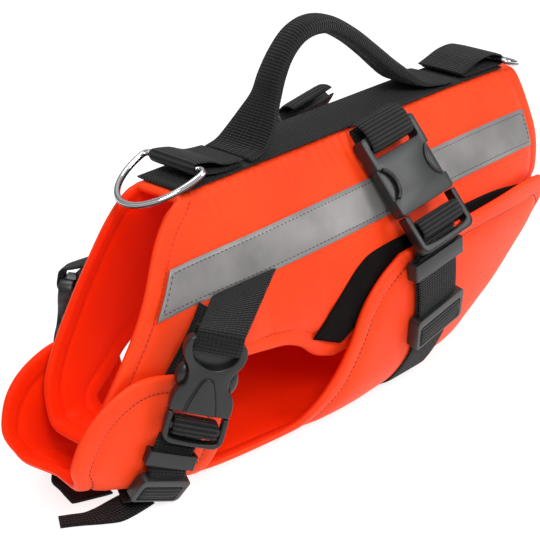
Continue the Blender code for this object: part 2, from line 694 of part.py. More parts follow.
def girth_seat(z):
    """The seat of a fitting on the girth strap whose top is at height z; out is measured from the belly."""
    top = BELLY.point(girth_x(z), -BELLY.arc_at(girth_x(z), z))
    bottom = BELLY.point(girth_x(z - 14), -BELLY.arc_at(girth_x(z - 14), z - 14))
    return Seat(top, (1, 0, GIRTH_LEAN), bottom - top)


def girth_fittings(collection):
    inner = (GIRTH_LIFT_SIDE - WEBBING / 2 - 0.6, GIRTH_LIFT_SIDE + LAYER + WEBBING / 2 + 1.2)
    outer = (inner[0] - 1.2, inner[1] + 1.5)
    keeper = sleeve("girth_keeper_left", girth_seat(KEEPER_TOP), WIDE / 2 + 1.4, inner, WIDE / 2 + 2.9, outer,
                    KEEPER_LONG, collection)
    outer = (inner[0] - 1.2, inner[1] + 2.6)
    slider = sleeve("girth_slider_left", girth_seat(SLIDER_TOP), WIDE / 2 + 1.2, inner, WIDE / 2 + 4.4, outer,
                    SLIDER_LONG, collection)
    return keeper, slider


# Seats of the fittings on the left chest strap: the strap's middle layer, at the top of each fitting.
CHEST_KEEPER_SEAT = Seat((-37.2, -45.4, 38.4), (0.85, -0.37, -0.375), (-0.32, 0.20, -0.925))
CHEST_SLIDER_SEAT = Seat((-40.8, -43.6, 23.4), (0.91, -0.17, -0.37), (-0.22, 0.50, -0.84))
CHEST_TURN = (-29.7, -44.5, 44.8, 0.80, -0.52, -0.32)    # where the strap turns forward behind the plug
# Left half of the chest strap past the slider: (x, y, z, across).
CHEST_LINE = (
    (-44.5, -26.5, 4.6, 0.97, -0.10, -0.10),
    (-40.0, -19.0, 3.9, 1.0, -0.06, 0.0),
    (-35.0, -10.0, 4.4, 1.0, -0.03, 0.0),
    (-30.5, -3.5, 1.9, 1.0, 0.0, 0.0),
    (-30.0, 0.0, 0.9, 1.0, 0.0, 0.0),
)
# Free ends of the chest strap, out of the sliders and along the floor: (x, y, z, across, width share).
LEFT_TAIL = (
    (-43.5, -23.5, 1.9, 0.22, -0.97, 0.0, 0.86),
    (-50.0, -22.6, 1.0, 0.12, -0.99, 0.0, 0.88),
    (-57.5, -22.5, 0.9, 0.0, -1.0, 0.0, 0.88),
    (-64.0, -22.0, 0.9, -0.10, -0.99, 0.0, 0.84),
    (-70.5, -19.3, 0.9, -0.25, -0.97, 0.0, 0.66),
    (-76.5, -15.8, 0.9, -0.50, -0.86, 0.0, 0.50),
    (-82.5, -11.4, 0.9, -0.57, -0.82, 0.0, 0.47),
    (-88.5, -7.4, 0.9, -0.57, -0.82, 0.0, 0.46),
)
RIGHT_TAIL = (
    (-47.5, 36.4, 5.6, 0.86, 0.40, -0.22, 1.0),
    (-51.0, 31.0, 2.0, 0.94, 0.20, -0.04, 1.0),
    (-53.0, 24.0, 0.9, 1.0, -0.05, 0.0, 1.0),
    (-55.0, 14.0, 0.9, 0.96, -0.25, 0.0, 1.0),
    (-57.5, 6.0, 0.9, 0.93, -0.36, 0.0, 1.0),
    (-60.0, -3.0, 0.9, 0.92, -0.38, 0.0, 1.0),
)


def chest_strap_upper(collection):
    top = [(*BACK.point(24, -BACK.arc_at(24, 109.5), 3.4), 1.0, 0.0, -0.10), (14.0, -44.5, 109.0, 0.95, -0.2, -0.16)]
    fold = ((-6, -7.5), (0, -9.6), (4.5, -9.6), (7.6, -8.4), (8.0, -4.6), (7.2, -0.6), (4.5, 1.15), (0, 1.2),
            (-4, 0.2), (-8, -2.4), (-12, -4.4))
    return strap("chest_strap_upper_left", top + along_seat(CHEST_SEAT, fold), NARROW, collection, 3.0)


def chest_strap_lower(collection):
    wrap = along_seat(CHEST_SEAT, plug_wrap(SLIM_BUCKLE, -10.2))[::-1]
    keeper = along_seat(CHEST_KEEPER_SEAT, [(v, 0) for v in (-1, 2, CHEST_KEEPER_LONG)])
    slider = along_seat(CHEST_SLIDER_SEAT, [(v, 0) for v in (-1, 7, CHEST_SLIDER_LONG)])
    left = wrap + [CHEST_TURN] + keeper + slider + list(CHEST_LINE)
    right = [(x, -y, z, ax, -ay, az) for x, y, z, ax, ay, az in left[:-1]]
    return strap("chest_strap_lower", left + right[::-1], NARROW, collection)


def chest_fittings(collection):
    inner, outer = (-WEBBING / 2 - 1.3, WEBBING / 2 + 1.3), (-WEBBING / 2 - 2.5, WEBBING / 2 + 3.0)
    keeper = sleeve("chest_keeper_left", CHEST_KEEPER_SEAT, NARROW / 2 + 0.9, inner,
                    NARROW / 2 + 2.5, outer, CHEST_KEEPER_LONG, collection)
    slider = sleeve("chest_slider_left", CHEST_SLIDER_SEAT, NARROW / 2 + 1.0, inner,
                    NARROW / 2 + 4.0, outer, CHEST_SLIDER_LONG, collection)
    return keeper, slider


def arm_webbing(collection):
    """Narrow webbing sewn on the chest arm, from the tape down behind the flap."""
    rows = []
    for x, z in through(((-8, 97), (-15, 86), (-23, 74), (-31, 62)), 6):
        arc = BACK.arc_at(x, z)
        centre = BACK.point(x, -arc, SKIN_GAP + WEBBING / 2)
        rows.append([BACK.point(x + dx, -BACK.arc_at(x + dx, z + dz), SKIN_GAP + WEBBING / 2)
                     for dx, dz in ((-8.5, 7.0), (0, 0), (8.5, -7.0))])
        rows[-1][1] = centre
    return ribbon("arm_webbing_left", rows, WEBBING, collection, "webbing")


# ---- the object ------------------------------------------------------------------------------------------
def build():
    for obj in list(bpy.data.objects):
        bpy.data.objects.remove(obj)
    jacket = bpy.data.collections.new("dog_life_jacket")
    bpy.context.scene.collection.children.link(jacket)
    panel("back_panel", BACK, back_pattern(), PATTERN_COLUMNS, BACK_ROWS, jacket, "padded_cloth")
    panel("belly_panel", BELLY, belly_pattern(), PATTERN_COLUMNS, BELLY_ROWS, jacket, "padded_cloth")
    spine_webbing(jacket)
    grab_handle(jacket)
    ring_loop("ring_loop_front", loop_path(FRONT_LOOP_LOW, FRONT_BAR, -1, FRONT_LOOP_HIGH), 17.5, jacket)
    ring_loop("ring_loop_rear", loop_path(REAR_LOOP_LOW, REAR_BAR, 1, REAR_LOOP_HIGH), 18.0, jacket)
    d_ring("d_ring_front", FRONT_BAR, FRONT_CROWN, jacket)
    d_ring("d_ring_rear", REAR_BAR, REAR_CROWN, jacket)
    girth_strap_lower(jacket)
    chest_strap_lower(jacket)
    strap("strap_tail_left", LEFT_TAIL, NARROW, jacket)
    strap("strap_tail_right", RIGHT_TAIL, NARROW, jacket)
    left_side = [
        reflective_strip(jacket),
        loop_patch(jacket),
        girth_strap_upper(jacket),
        girth_strap_return(jacket),
        socket("girth_buckle_socket_left", WIDE_BUCKLE, GIRTH_SEAT, jacket),
        plug("girth_buckle_plug_left", WIDE_BUCKLE, GIRTH_SEAT, jacket),
        *girth_fittings(jacket),
        chest_strap_upper(jacket),
        socket("chest_buckle_socket_left", SLIM_BUCKLE, CHEST_SEAT, jacket),
        plug("chest_buckle_plug_left", SLIM_BUCKLE, CHEST_SEAT, jacket),
        *chest_fittings(jacket),
        arm_webbing(jacket),
    ]
    for piece in left_side:
        twin(piece, piece.name.replace("_left", "_right"), jacket)


build()
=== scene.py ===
"""Looks of the dog life jacket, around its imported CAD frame.

Tables are in millimetres: x from the neck to the tail, y to the dog's right, z up from the floor. `world`
turns them into metres in the frame's own axes.
"""
import math

import bmesh
import bpy
import numpy as np
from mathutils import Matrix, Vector, geometry, noise

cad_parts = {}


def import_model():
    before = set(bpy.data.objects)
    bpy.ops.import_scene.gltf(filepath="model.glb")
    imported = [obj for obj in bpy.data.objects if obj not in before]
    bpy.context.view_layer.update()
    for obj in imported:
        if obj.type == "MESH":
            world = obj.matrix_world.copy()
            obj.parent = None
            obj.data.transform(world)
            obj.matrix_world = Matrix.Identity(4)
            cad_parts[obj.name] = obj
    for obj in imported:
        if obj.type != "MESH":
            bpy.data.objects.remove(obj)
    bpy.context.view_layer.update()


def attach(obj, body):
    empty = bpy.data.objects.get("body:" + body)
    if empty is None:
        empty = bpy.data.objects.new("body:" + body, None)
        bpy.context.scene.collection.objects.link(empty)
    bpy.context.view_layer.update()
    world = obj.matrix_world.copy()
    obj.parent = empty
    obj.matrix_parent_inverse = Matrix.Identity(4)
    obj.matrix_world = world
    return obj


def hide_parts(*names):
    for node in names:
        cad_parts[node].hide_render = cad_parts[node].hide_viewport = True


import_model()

MM = 0.001
GIRTH_X = 160.0
FOAM = 6.0
WEBBING = 1.7
WIDE, NARROW = 38.0, 25.0
ARM_OVERLAP = 12.0
RING_WIRE = 1.9
RING_SPAN = 46.0

BACK_FORM = (
    # x    top  ridge  knee_y knee_z  hip_y hip_z  base_y base_z
    (-90, 170, 16.0,  28.0, 112,   27.0, 72,   18.0, 41),
    (-30, 170, 17.5,  30.5, 112,   30.0, 72,   20.0, 40),
    (0,   170, 19.0,  34.0, 112,   36.0, 72,   24.0, 38),
    (60,  170, 19.0,  46.5, 111,   49.5, 70,   36.0, 30),
    (110, 170, 19.0,  54.5, 110,   56.0, 70,   42.0, 24),
    (165, 170, 19.0,  57.0, 110,   58.0, 70,   44.0, 24),
    (240, 170, 19.0,  51.5, 112,   52.5, 74,   40.0, 30),
    (300, 169, 18.5,  42.0, 118,   43.0, 88,   32.0, 52),
    (335, 167, 17.5,  35.0, 120,   36.0, 92,   26.0, 64),
)
BACK_CUTS = (7.0, 26.0, 20.0, 18.0)
BELLY_FORM = (
    # x    floor base_y  hip_y hip_z  wall_y wall_z  top_y top_z
    (-100, 30,  23.0,   30.5, 46,    33.0, 68,     34.5, 110),
    (-84,  24,  26.0,   33.0, 40,    35.0, 66,     36.0, 110),
    (-40,  10,  31.0,   36.5, 28,    37.5, 62,     37.5, 110),
    (-6,   4.0, 36.0,   41.5, 18,    42.5, 60,     42.5, 112),
    (60,   2.4, 43.0,   52.0, 17,    56.0, 66,     56.0, 114),
    (110,  2.4, 45.0,   57.0, 20,    64.0, 72,     63.0, 114),
    (165, 2.4, 44.0, 57.2, 25,    66.5, 72,     66.0, 114),
    (240,  8.0, 38.0,   51.5, 34,    61.8, 76,     61.6, 114),
    (300,  38,  29.0,   45.0, 60,    52.0, 86,     51.5, 114),
    (335,  58,  24.0,   39.0, 76,    45.0, 94,     44.5, 114),
)
BELLY_CUTS = (12.0, 18.0, 20.0)


def world(point):
    x, y, z = point
    return Vector(((x - GIRTH_X) * MM, y * MM, z * MM))


# ---- sections --------------------------------------------------------------------------------------------
def smooth_row(table, x):
    """One row of a station table at x, by cubic interpolation between the rows."""
    xs = [row[0] for row in table]
    x = min(max(x, xs[0]), xs[-1])
    i = min(max(int(np.searchsorted(xs, x, side="right")) - 1, 0), len(xs) - 2)
    rows = np.array(table, float)

    def slope(k):
        before, after = max(k - 1, 0), min(k + 1, len(xs) - 1)
        return (rows[after, 1:] - rows[before, 1:]) / (xs[after] - xs[before])

    span = xs[i + 1] - xs[i]
    t = (x - xs[i]) / span
    return (
        (2 * t**3 - 3 * t**2 + 1) * rows[i, 1:]
        + (t**3 - 2 * t**2 + t) * span * slope(i)
        + (3 * t**2 - 2 * t**3) * rows[i + 1, 1:]
        + (t**3 - t**2) * span * slope(i + 1)
    )


def rounded(corners, cuts, steps=14):
    """The open outline through the corners with every inner corner rounded by its cut."""
    corners = [np.array(c, float) for c in corners]
    points = [corners[0]]
    for before, corner, after, cut in zip(corners, corners[1:], corners[2:], cuts):
        back, ahead = before - corner, after - corner
        near = min(cut, 0.49 * np.linalg.norm(back), 0.49 * np.linalg.norm(ahead))
        first = corner + back / np.linalg.norm(back) * near
        last = corner + ahead / np.linalg.norm(ahead) * near
        for k in range(steps + 1):
            t = k / steps
            points.append((1 - t) ** 2 * first + 2 * t * (1 - t) * corner + t**2 * last)
    points.append(corners[-1])
    return np.array(points)


class Form:
    """A body surface addressed by station x and arc length along the section from its middle line."""

    FIRST, LAST, STEP, REACH = -102.0, 337.0, 1.5, 262.0

    def __init__(self, table, cuts, from_top):
        self.table, self.cuts, self.from_top = table, cuts, from_top
        self.xs = np.arange(self.FIRST, self.LAST + self.STEP, self.STEP)
        self.arcs = np.arange(0.0, self.REACH, 1.0)
        self.y, self.z, self.wholes = [], [], []
        for x in self.xs:
            y, z, whole = self.section(x)
            self.y.append(y)
            self.z.append(z)
            self.wholes.append(whole)
        self.y, self.z = np.array(self.y), np.array(self.z)

    def corners(self, x):
        row = smooth_row(self.table, x)
        if self.from_top:
            top, ridge, knee_y, knee_z, hip_y, hip_z, base_y, base_z = row
            return (0, top), (ridge, top), (knee_y, knee_z), (hip_y, hip_z), (base_y, base_z), (0, base_z)
        floor, base_y, hip_y, hip_z, wall_y, wall_z, top_y, top_z = row
        return (0, floor), (base_y, floor), (hip_y, hip_z), (wall_y, wall_z), (top_y, top_z)

    def section(self, x):
        """The section at x sampled at whole arc lengths; past the middle it runs on up the other side."""
        points = rounded(self.corners(x), self.cuts)
        arcs = np.concatenate([[0], np.cumsum(np.linalg.norm(np.diff(points, axis=0), axis=1))])
        whole = arcs[-1]
        past = self.arcs > whole
        folded = np.where(past, 2 * whole - self.arcs, self.arcs)
        y = np.interp(folded, arcs, points[:, 0])
        return np.where(past, -y, y), np.interp(folded, arcs, points[:, 1]), whole

    def whole(self, x):
        return float(np.interp(x, self.xs, self.wholes))

    def flat(self, x, arc):
        """y and z at stations and unsigned arc lengths, by interpolation in the sampled sections."""
        x, arc = np.broadcast_arrays(np.asarray(x, float), np.asarray(arc, float))
        column = np.clip((x - self.FIRST) / self.STEP, 0, len(self.xs) - 1.001)
        row = np.clip(arc, 0, len(self.arcs) - 1.001)
        i, j = column.astype(int), row.astype(int)
        u, v = column - i, row - j
        out = []
        for grid in (self.y, self.z):
            near = grid[i, j] * (1 - v) + grid[i, j + 1] * v
            far = grid[i + 1, j] * (1 - v) + grid[i + 1, j + 1] * v
            out.append(near * (1 - u) + far * u)
        return out

    def points(self, x, arc, out=0.0):
        """Points at signed arc lengths (right side positive), moved out of the surface."""
        x, arc = np.asarray(x, float), np.asarray(arc, float)
        side, length = np.where(arc >= 0, 1.0, -1.0), np.abs(arc)
        y, z = self.flat(x, length)
        y_ahead, z_ahead = self.flat(x, length + 1.5)
        y_behind, z_behind = self.flat(x, np.maximum(length - 1.5, 0))
        dy, dz = y_ahead - y_behind, z_ahead - z_behind
        size = np.hypot(dy, dz) + 1e-9
        turn = 1.0 if self.from_top else -1.0
        return np.stack([x + 0 * y, side * (y - turn * dz / size * out), z + turn * dy / size * out], axis=-1)

    def point(self, x, arc, out=0.0):
        return self.points(np.array([x]), np.array([arc]), out)[0]

    def arc_at(self, x, z):
        """Arc length from the middle line to where the section passes the height z."""
        whole = self.whole(x)
        arcs = np.arange(0.0, whole, 0.5)
        heights = self.flat(x, arcs)[1]
        return float(np.interp(-z, -heights, arcs)) if self.from_top else float(np.interp(z, heights, arcs))


BACK = Form(BACK_FORM, BACK_CUTS, True)
BELLY = Form(BELLY_FORM, BELLY_CUTS, False)

# ---- outlines --------------------------------------------------------------------------------------------
NECK_EDGE = ((0, 170), (-11, 162), (-22, 148), (-35, 123), (-46, 104), (-61, 80), (-68, 65), (-70, 52))
NECK_FOOT_X, ARM_REAR_X = -71.0, -37.0
ARM_REAR = ((-34, 47), (-22, 53), (-6, 61))
LEG_ARCH = ((-6, 61), (7, 65), (22, 68), (45, 67.5), (58, 66), (70, 60), (82, 50), (98, 43))
FLANK_EDGE = ((98, 43), (150, 48), (200, 57), (250, 68), (300, 82), (318, 88))
TAIL_EDGE = ((323, 97), (326, 124), (324, 150), (320, 166))
TAIL_X = 318.0
FRONT_HEM_X, REAR_HEM_X = -83.0, 226.0
FLAP_EDGE = ((-90, 31), (-95, 45), (-90, 62), (-80, 73), (-66, 80), (-50, 83), (-32, 80), (-12, 72), (2, 56),
             (6, 38), (2, 18), (-5, 5.5))
WAIST_EDGE = ((-5, 5.5), (18, 6.5), (45, 6.5), (62, 9), (74, 19))
WING_FRONT = ((74, 19), (90, 36), (99, 52), (108, 76), (122, 92), (140, 103))
WING_TOP = ((140, 103), (165, 104.5), (200, 105), (250, 104), (296, 101), (314, 98))
WING_REAR = ((322, 91), (325, 79), (304, 54), (274, 33), (247, 17))


def through(points, step):
    """Points about a step apart on a smooth curve through the given ones."""
    points = [np.array(p, float) for p in points]
    out = []
    for i in range(len(points) - 1):
        before = points[max(i - 1, 0)]
        first, last = points[i], points[i + 1]
        after = points[min(i + 2, len(points) - 1)]
        count = max(1, round(float(np.linalg.norm((last - first)[:3])) / step))
        for k in range(count):
            t = k / count
            out.append(0.5 * (2 * first + (last - before) * t
                              + (2 * before - 5 * first + 4 * last - after) * t**2
                              + (3 * first - before - 3 * last + after) * t**3))
    out.append(points[-1])
    return out


def on_pattern(form, edge, step=3.0):
    return [(x, form.arc_at(x, z)) for x, z in through(edge, step)]


def even(first, last, step=3.0):
    count = max(2, round(math.dist(first, last) / step))
    return [tuple(np.array(first) + (np.array(last) - np.array(first)) * k / count) for k in range(1, count)]


def mirrored(points):
    return [(x, -s) for x, s in points]


def chain(*corners):
    """A pattern edge of straight runs through the corners, without its last point."""
    out = []
    for first, last in zip(corners, corners[1:]):
        out += [first] + even(first, last)
    return out


def back_pattern():
    """Outline of the saddle and its two chest arms as (x, signed arc), right side positive."""
    neck = on_pattern(BACK, NECK_EDGE)
    front = chain((NECK_EDGE[0][0], 0), (-1.0, 9), (-1.0, 17), neck[1])[:-1] + neck[1:]
    rear = on_pattern(BACK, ARM_REAR)[:-1] + on_pattern(BACK, LEG_ARCH)[:-1]
    rear += on_pattern(BACK, FLANK_EDGE) + on_pattern(BACK, TAIL_EDGE)
    rear += chain(rear[-1], (TAIL_X + 1, 14), (TAIL_X, 0))[1:] + [(TAIL_X, 0)]
    foot, end = BACK.whole(NECK_FOOT_X), BACK.whole(ARM_REAR_X)
    right_foot = chain(front[-1], (NECK_FOOT_X, foot - 4), (NECK_FOOT_X, foot + ARM_OVERLAP - 0.35),
                       (ARM_REAR_X, end + ARM_OVERLAP - 0.35), (ARM_REAR_X, end - 4), rear[0])[1:]
    left_foot = chain(front[-1], (NECK_FOOT_X + 1, foot - ARM_OVERLAP),
                      (ARM_REAR_X, end - ARM_OVERLAP), rear[0])[1:]
    return front + right_foot + rear + mirrored(front + left_foot + rear)[-2:0:-1]


def belly_pattern():
    half = on_pattern(BELLY, FLAP_EDGE)[:-1] + on_pattern(BELLY, WAIST_EDGE)[:-1]
    half += on_pattern(BELLY, WING_FRONT)[:-1] + on_pattern(BELLY, WING_TOP)
    half += even(half[-1], on_pattern(BELLY, WING_REAR)[0]) + on_pattern(BELLY, WING_REAR)
    front = even((FRONT_HEM_X, 0), half[0])
    rear = even(half[-1], (REAR_HEM_X, 0))
    half = [(FRONT_HEM_X, 0)] + front + half + rear + [(REAR_HEM_X, 0)]
    return half + mirrored(half)[-2:0:-1]


def edge_distance(points, outline):
    """Distance of each point to the outline, in blocks to spare memory."""
    a = np.array(outline)
    b = np.roll(a, -1, axis=0)
    run = b - a
    square = np.einsum("ij,ij->i", run, run) + 1e-12
    out = []
    for block in np.array_split(points, max(1, len(points) // 400)):
        t = np.clip(np.einsum("pij,ij->pi", block[:, None] - a, run) / square, 0, 1)
        near = block[:, None] - (a + run * t[..., None])
        out.append(np.sqrt(np.einsum("pij,pij->pi", near, near)).min(axis=1))
    return np.concatenate(out)


def inside(points, outline):
    a = np.array(outline)
    b = np.roll(a, -1, axis=0)
    x, s = points[:, :1], points[:, 1:]
    spans = (a[:, 1] > s) != (b[:, 1] > s)
    rise = np.where(b[:, 1] == a[:, 1], 1e-9, b[:, 1] - a[:, 1])
    cross = (b[:, 0] - a[:, 0]) * (s - a[:, 1]) / rise + a[:, 0]
    return (spans & (x < cross)).sum(axis=1) % 2 == 1


RINGS = (0.35, 0.9, 1.7, 2.8, 4.4, 6.2, 8.0, 9.3, 10.2, 11.2, 13.0, 15.5)   # rows of points beside an edge
GRID = 3.3


def fill_pattern(outline):
    """Triangles over the pattern, with rows along its edge, and each point's distance to the edge."""
    a = np.array(outline)
    ahead, behind = np.roll(a, -1, axis=0), np.roll(a, 1, axis=0)
    run = ahead - behind
    run /= np.linalg.norm(run, axis=1)[:, None] + 1e-9
    normal = np.stack([-run[:, 1], run[:, 0]], axis=1)
    if not inside(a[5:6] + normal[5:6] * 2.0, outline)[0]:
        normal = -normal
    rows = [a + normal * d for d in RINGS]
    rings = np.concatenate(rows)
    wanted = np.repeat(RINGS, len(a))
    real = edge_distance(rings, outline)
    rings = rings[inside(rings, outline) & (np.abs(real - wanted) < 0.08 * wanted + 0.05)]
    low, high = a.min(0), a.max(0)
    xs, ss = np.meshgrid(np.arange(low[0], high[0], GRID), np.arange(low[1], high[1], GRID))
    xs = xs + (np.arange(len(xs)) % 2)[:, None] * GRID / 2
    grid = np.stack([xs.ravel(), ss.ravel()], axis=1)
    grid = grid[inside(grid, outline)]
    grid = grid[edge_distance(grid, outline) > RINGS[-1] + 2.4]
    grid = grid[np.abs(np.abs(grid[:, 1]) - 29.5) > 12.5]
    fine = np.array([(x, side * s) for s in (17.5, 20, 22, 24.5, 27.5, 31, 35, 39.5) for side in (1, -1)
                     for x in np.arange(low[0] + s % 2, high[0], 1.9)])
    fine = fine[inside(fine, outline)]
    fine = fine[edge_distance(fine, outline) > RINGS[-1] + 1.6]
    points = [Vector(p) for p in np.concatenate([a, rings, grid, fine])]
    loop = [(i, (i + 1) % len(a)) for i in range(len(a))]
    verts, _, faces, *_ = geometry.delaunay_2d_cdt(points, loop, [], 1, 1e-6)
    verts = np.array([tuple(v) for v in verts])
    return verts, faces, edge_distance(verts, outline)


# ---- materials -------------------------------------------------------------------------------------------
class Nodes:
    """Short hand for building one material's node tree."""

    def __init__(self, name):
        self.material = bpy.data.materials.new(name)
        self.material.use_nodes = True
        self.tree = self.material.node_tree
        self.shader = self.tree.nodes["Principled BSDF"]

    def add(self, kind, inputs=None, **settings):
        node = self.tree.nodes.new(kind)
        for key, value in settings.items():
            setattr(node, key, value)
        for key, value in (inputs or {}).items():
            if isinstance(value, bpy.types.NodeSocket):
                self.tree.links.new(value, node.inputs[key])
            else:
                node.inputs[key].default_value = value
        return node

    def link(self, socket, name):
        self.tree.links.new(socket, self.shader.inputs[name])

    def set(self, **values):
        for name, value in values.items():
            self.shader.inputs[name.replace("_", " ")].default_value = value

    def noise(self, scale, detail=4.0, roughness=0.5, vector=None):
        inputs = {"Scale": scale, "Detail": detail, "Roughness": roughness}
        node = self.add("ShaderNodeTexNoise", inputs)
        self.tree.links.new(vector or self.position(), node.inputs["Vector"])
        return node.outputs["Fac"]

    def position(self):
        return self.add("ShaderNodeTexCoord").outputs["Object"]

    def uv(self):
        return self.add("ShaderNodeTexCoord").outputs["UV"]

    def math(self, operation, a, b=0.0):
        return self.add("ShaderNodeMath", {0: a, 1: b}, operation=operation).outputs[0]

    def ramp(self, fac, *stops):
        node = self.add("ShaderNodeValToRGB", {"Fac": fac})
        elements = node.color_ramp.elements
        while len(elements) < len(stops):
            elements.new(0.5)
        for element, (place, colour) in zip(elements, stops):
            element.position = place
            element.color = (*colour, 1) if len(colour) == 3 else colour
        return node.outputs["Color"]

    def bump(self, height, distance, strength=1.0, onto=None):
        inputs = {"Height": height, "Distance": distance, "Strength": strength}
        node = self.add("ShaderNodeBump", inputs)
        if onto is not None:
            self.tree.links.new(onto, node.inputs["Normal"])
        return node.outputs["Normal"]


def shell_material(name, deep, bright, sheen, level):
    """Coated cloth, clouded between two tones of orange over a fine weave."""
    n = Nodes(name)
    n.set(Roughness=0.56, Sheen_Weight=sheen, Sheen_Roughness=0.45, Specular_IOR_Level=level)
    n.shader.inputs["Sheen Tint"].default_value = (1.0, 0.55, 0.35, 1)
    cloud = n.noise(14.0, 3.0)
    n.link(n.ramp(cloud, (0.3, deep), (0.7, bright)), "Base Color")
    position = n.position()
    weave = {"Vector": position, "Scale": 420.0, "Distortion": 0.6, "Detail": 1.0}
    weave_x = n.add("ShaderNodeTexWave", weave, bands_direction="X").outputs["Fac"]
    weave_z = n.add("ShaderNodeTexWave", weave, bands_direction="Z").outputs["Fac"]
    fine = n.bump(n.math("ADD", weave_x, weave_z), 0.00006, 0.5)
    soft = n.bump(n.noise(26.0, 2.0, 0.45), 0.0022, 0.55, fine)
    n.link(n.bump(n.noise(90.0, 3.0, 0.5), 0.00035, 0.5, soft), "Normal")
    return n.material


def webbing_material(name="webbing_black", rib=0.00185, warp=0.0024, depth=0.00055):
    """Woven tape: ribs across it, crossed by warp yarns; UV is metres across and along."""
    n = Nodes(name)
    n.set(Roughness=0.72, Sheen_Weight=0.07, Sheen_Roughness=0.5, Specular_IOR_Level=0.20)
    parts = n.add("ShaderNodeSeparateXYZ", {0: n.uv()})
    across, along = parts.outputs[0], parts.outputs[1]
    column = n.math("MULTIPLY", across, 2 * math.pi / warp)
    row = n.math("MULTIPLY", along, 2 * math.pi / rib)
    wobble = n.math("MULTIPLY", n.noise(160.0, 2.0), 1.6)
    rib_wave = n.math("SINE", n.math("ADD", row, wobble))
    shifted = n.math("SINE", n.math("ADD", row, math.pi))
    choose = n.math("MULTIPLY", n.math("SINE", column), 0.5)
    weave = n.math("ADD", n.math("MULTIPLY", rib_wave, n.math("ADD", choose, 0.75)),
                   n.math("MULTIPLY", shifted, n.math("MULTIPLY", choose, 0.35)))
    cord = n.math("ABSOLUTE", n.math("SINE", n.math("MULTIPLY", column, 0.5)))
    height = n.math("ADD", weave, n.math("MULTIPLY", cord, 0.7))
    grime = n.noise(60.0, 4.0)
    # Painted shade and highlight: the colour is darker where the weave lies low and lighter where it stands
    # high, mixed with a random grime tone.
    lit = n.math("ADD", n.math("MULTIPLY", height, 0.26), n.math("MULTIPLY", grime, 0.5))
    dark, light = 0.0022, 0.0115
    n.link(n.ramp(lit, (0.05, (dark, dark, dark)), (0.75, (light, light * 1.03, light * 1.03))), "Base Color")
    fibre = n.bump(n.noise(900.0, 2.0), 0.00012, 0.4)
    n.link(n.bump(height, depth, 0.85, fibre), "Normal")
    return n.material


def ribbed_material():
    """Webbing bent sharply over a bar: its opened ribs are painted as bright threads over dark grooves, a
    painted highlight and painted shade.
    """
    n = Nodes("webbing_ribbed_painted_light")
    n.set(Roughness=0.62, Sheen_Weight=0.05, Sheen_Roughness=0.5, Specular_IOR_Level=0.22)
    parts = n.add("ShaderNodeSeparateXYZ", {0: n.uv()})
    rib = n.math("ABSOLUTE", n.math("SINE", n.math("MULTIPLY", parts.outputs[1], math.pi / 0.0024)))
    twist = n.math("SINE", n.math("MULTIPLY", parts.outputs[0], 2 * math.pi / 0.0011))
    crest = n.math("POWER", rib, 3.0)
    lit = n.math("MULTIPLY", crest, n.math("ADD", n.math("MULTIPLY", twist, 0.28), 0.72))
    # Base colour bright on the rib crests and dark in the grooves: painted highlight and painted shade.
    n.link(n.ramp(lit, (0.15, (0.0026, 0.0026, 0.0027)), (0.95, (0.040, 0.041, 0.041))), "Base Color")
    n.link(n.bump(n.math("ADD", crest, n.math("MULTIPLY", twist, 0.2)), 0.0007, 0.9), "Normal")
    return n.material


def tape_material():
    n = Nodes("tape_grey")
    n.set(Roughness=0.42, Specular_IOR_Level=0.45, Metallic=0.25)
    cloud = n.noise(30.0, 4.0, 0.55)
    n.link(n.ramp(cloud, (0.28, (0.190, 0.181, 0.178)), (0.72, (0.30, 0.287, 0.282))), "Base Color")
    grain = n.noise(2500.0, 1.0)
    n.link(n.bump(n.noise(55.0, 2.0), 0.0008, 0.35, n.bump(grain, 0.00004, 0.5)), "Normal")
    return n.material


def plain_material(name, colour, roughness, metallic=0.0, grain=0.0, grain_scale=1800.0, level=0.5):
    n = Nodes(name)
    n.set(Roughness=roughness, Metallic=metallic, Specular_IOR_Level=level)
    n.shader.inputs["Base Color"].default_value = (*colour, 1)
    if grain:
        n.link(n.bump(n.noise(grain_scale, 2.0), grain, 0.6), "Normal")
        worn, fresh = tuple(c * 0.82 for c in colour), tuple(c * 1.15 for c in colour)
        n.link(n.ramp(n.noise(120.0, 3.0), (0.3, worn), (0.7, fresh)), "Base Color")
    return n.material


def chrome_material():
    """Plated steel with a painted reflection: bands dark and light round the wire by which way it faces, as
    polished metal looks in a studio.
    """
    n = Nodes("chrome_painted_reflection")
    n.set(Roughness=0.10, Metallic=1.0)
    facing = n.add("ShaderNodeSeparateXYZ", {0: n.add("ShaderNodeNewGeometry").outputs["Normal"]})
    height = n.math("ADD", n.math("MULTIPLY", facing.outputs[2], 0.5), 0.5)
    reflection_bands = ((0.10, (0.50, 0.50, 0.51)), (0.36, (0.03, 0.03, 0.032)), (0.50, (0.07, 0.07, 0.075)),
             (0.60, (0.80, 0.80, 0.81)), (0.78, (0.95, 0.95, 0.95)), (0.88, (0.22, 0.22, 0.23)),
             (0.98, (0.75, 0.75, 0.76)))
    n.link(n.ramp(height, *reflection_bands), "Base Color")
    return n.material


SHELL = shell_material("shell_orange", (0.90, 0.040, 0.001), (0.98, 0.058, 0.004), 0.12, 0.25)
# A darker copy of the orange cloth for the panels' inner faces: painted shade.
SHELL_INNER_PAINTED_SHADE = shell_material("shell_inner_painted_shade", (0.92, 0.020, 0.0006), (0.99, 0.030, 0.001), 0.02, 0.08)
WEB = webbing_material()
RIBBED_PAINTED_LIGHT = ribbed_material()
TAPE_GREY = tape_material()
PLASTIC = plain_material("plastic_satin", (0.013, 0.014, 0.0145), 0.36, grain=0.00003, grain_scale=2600.0)
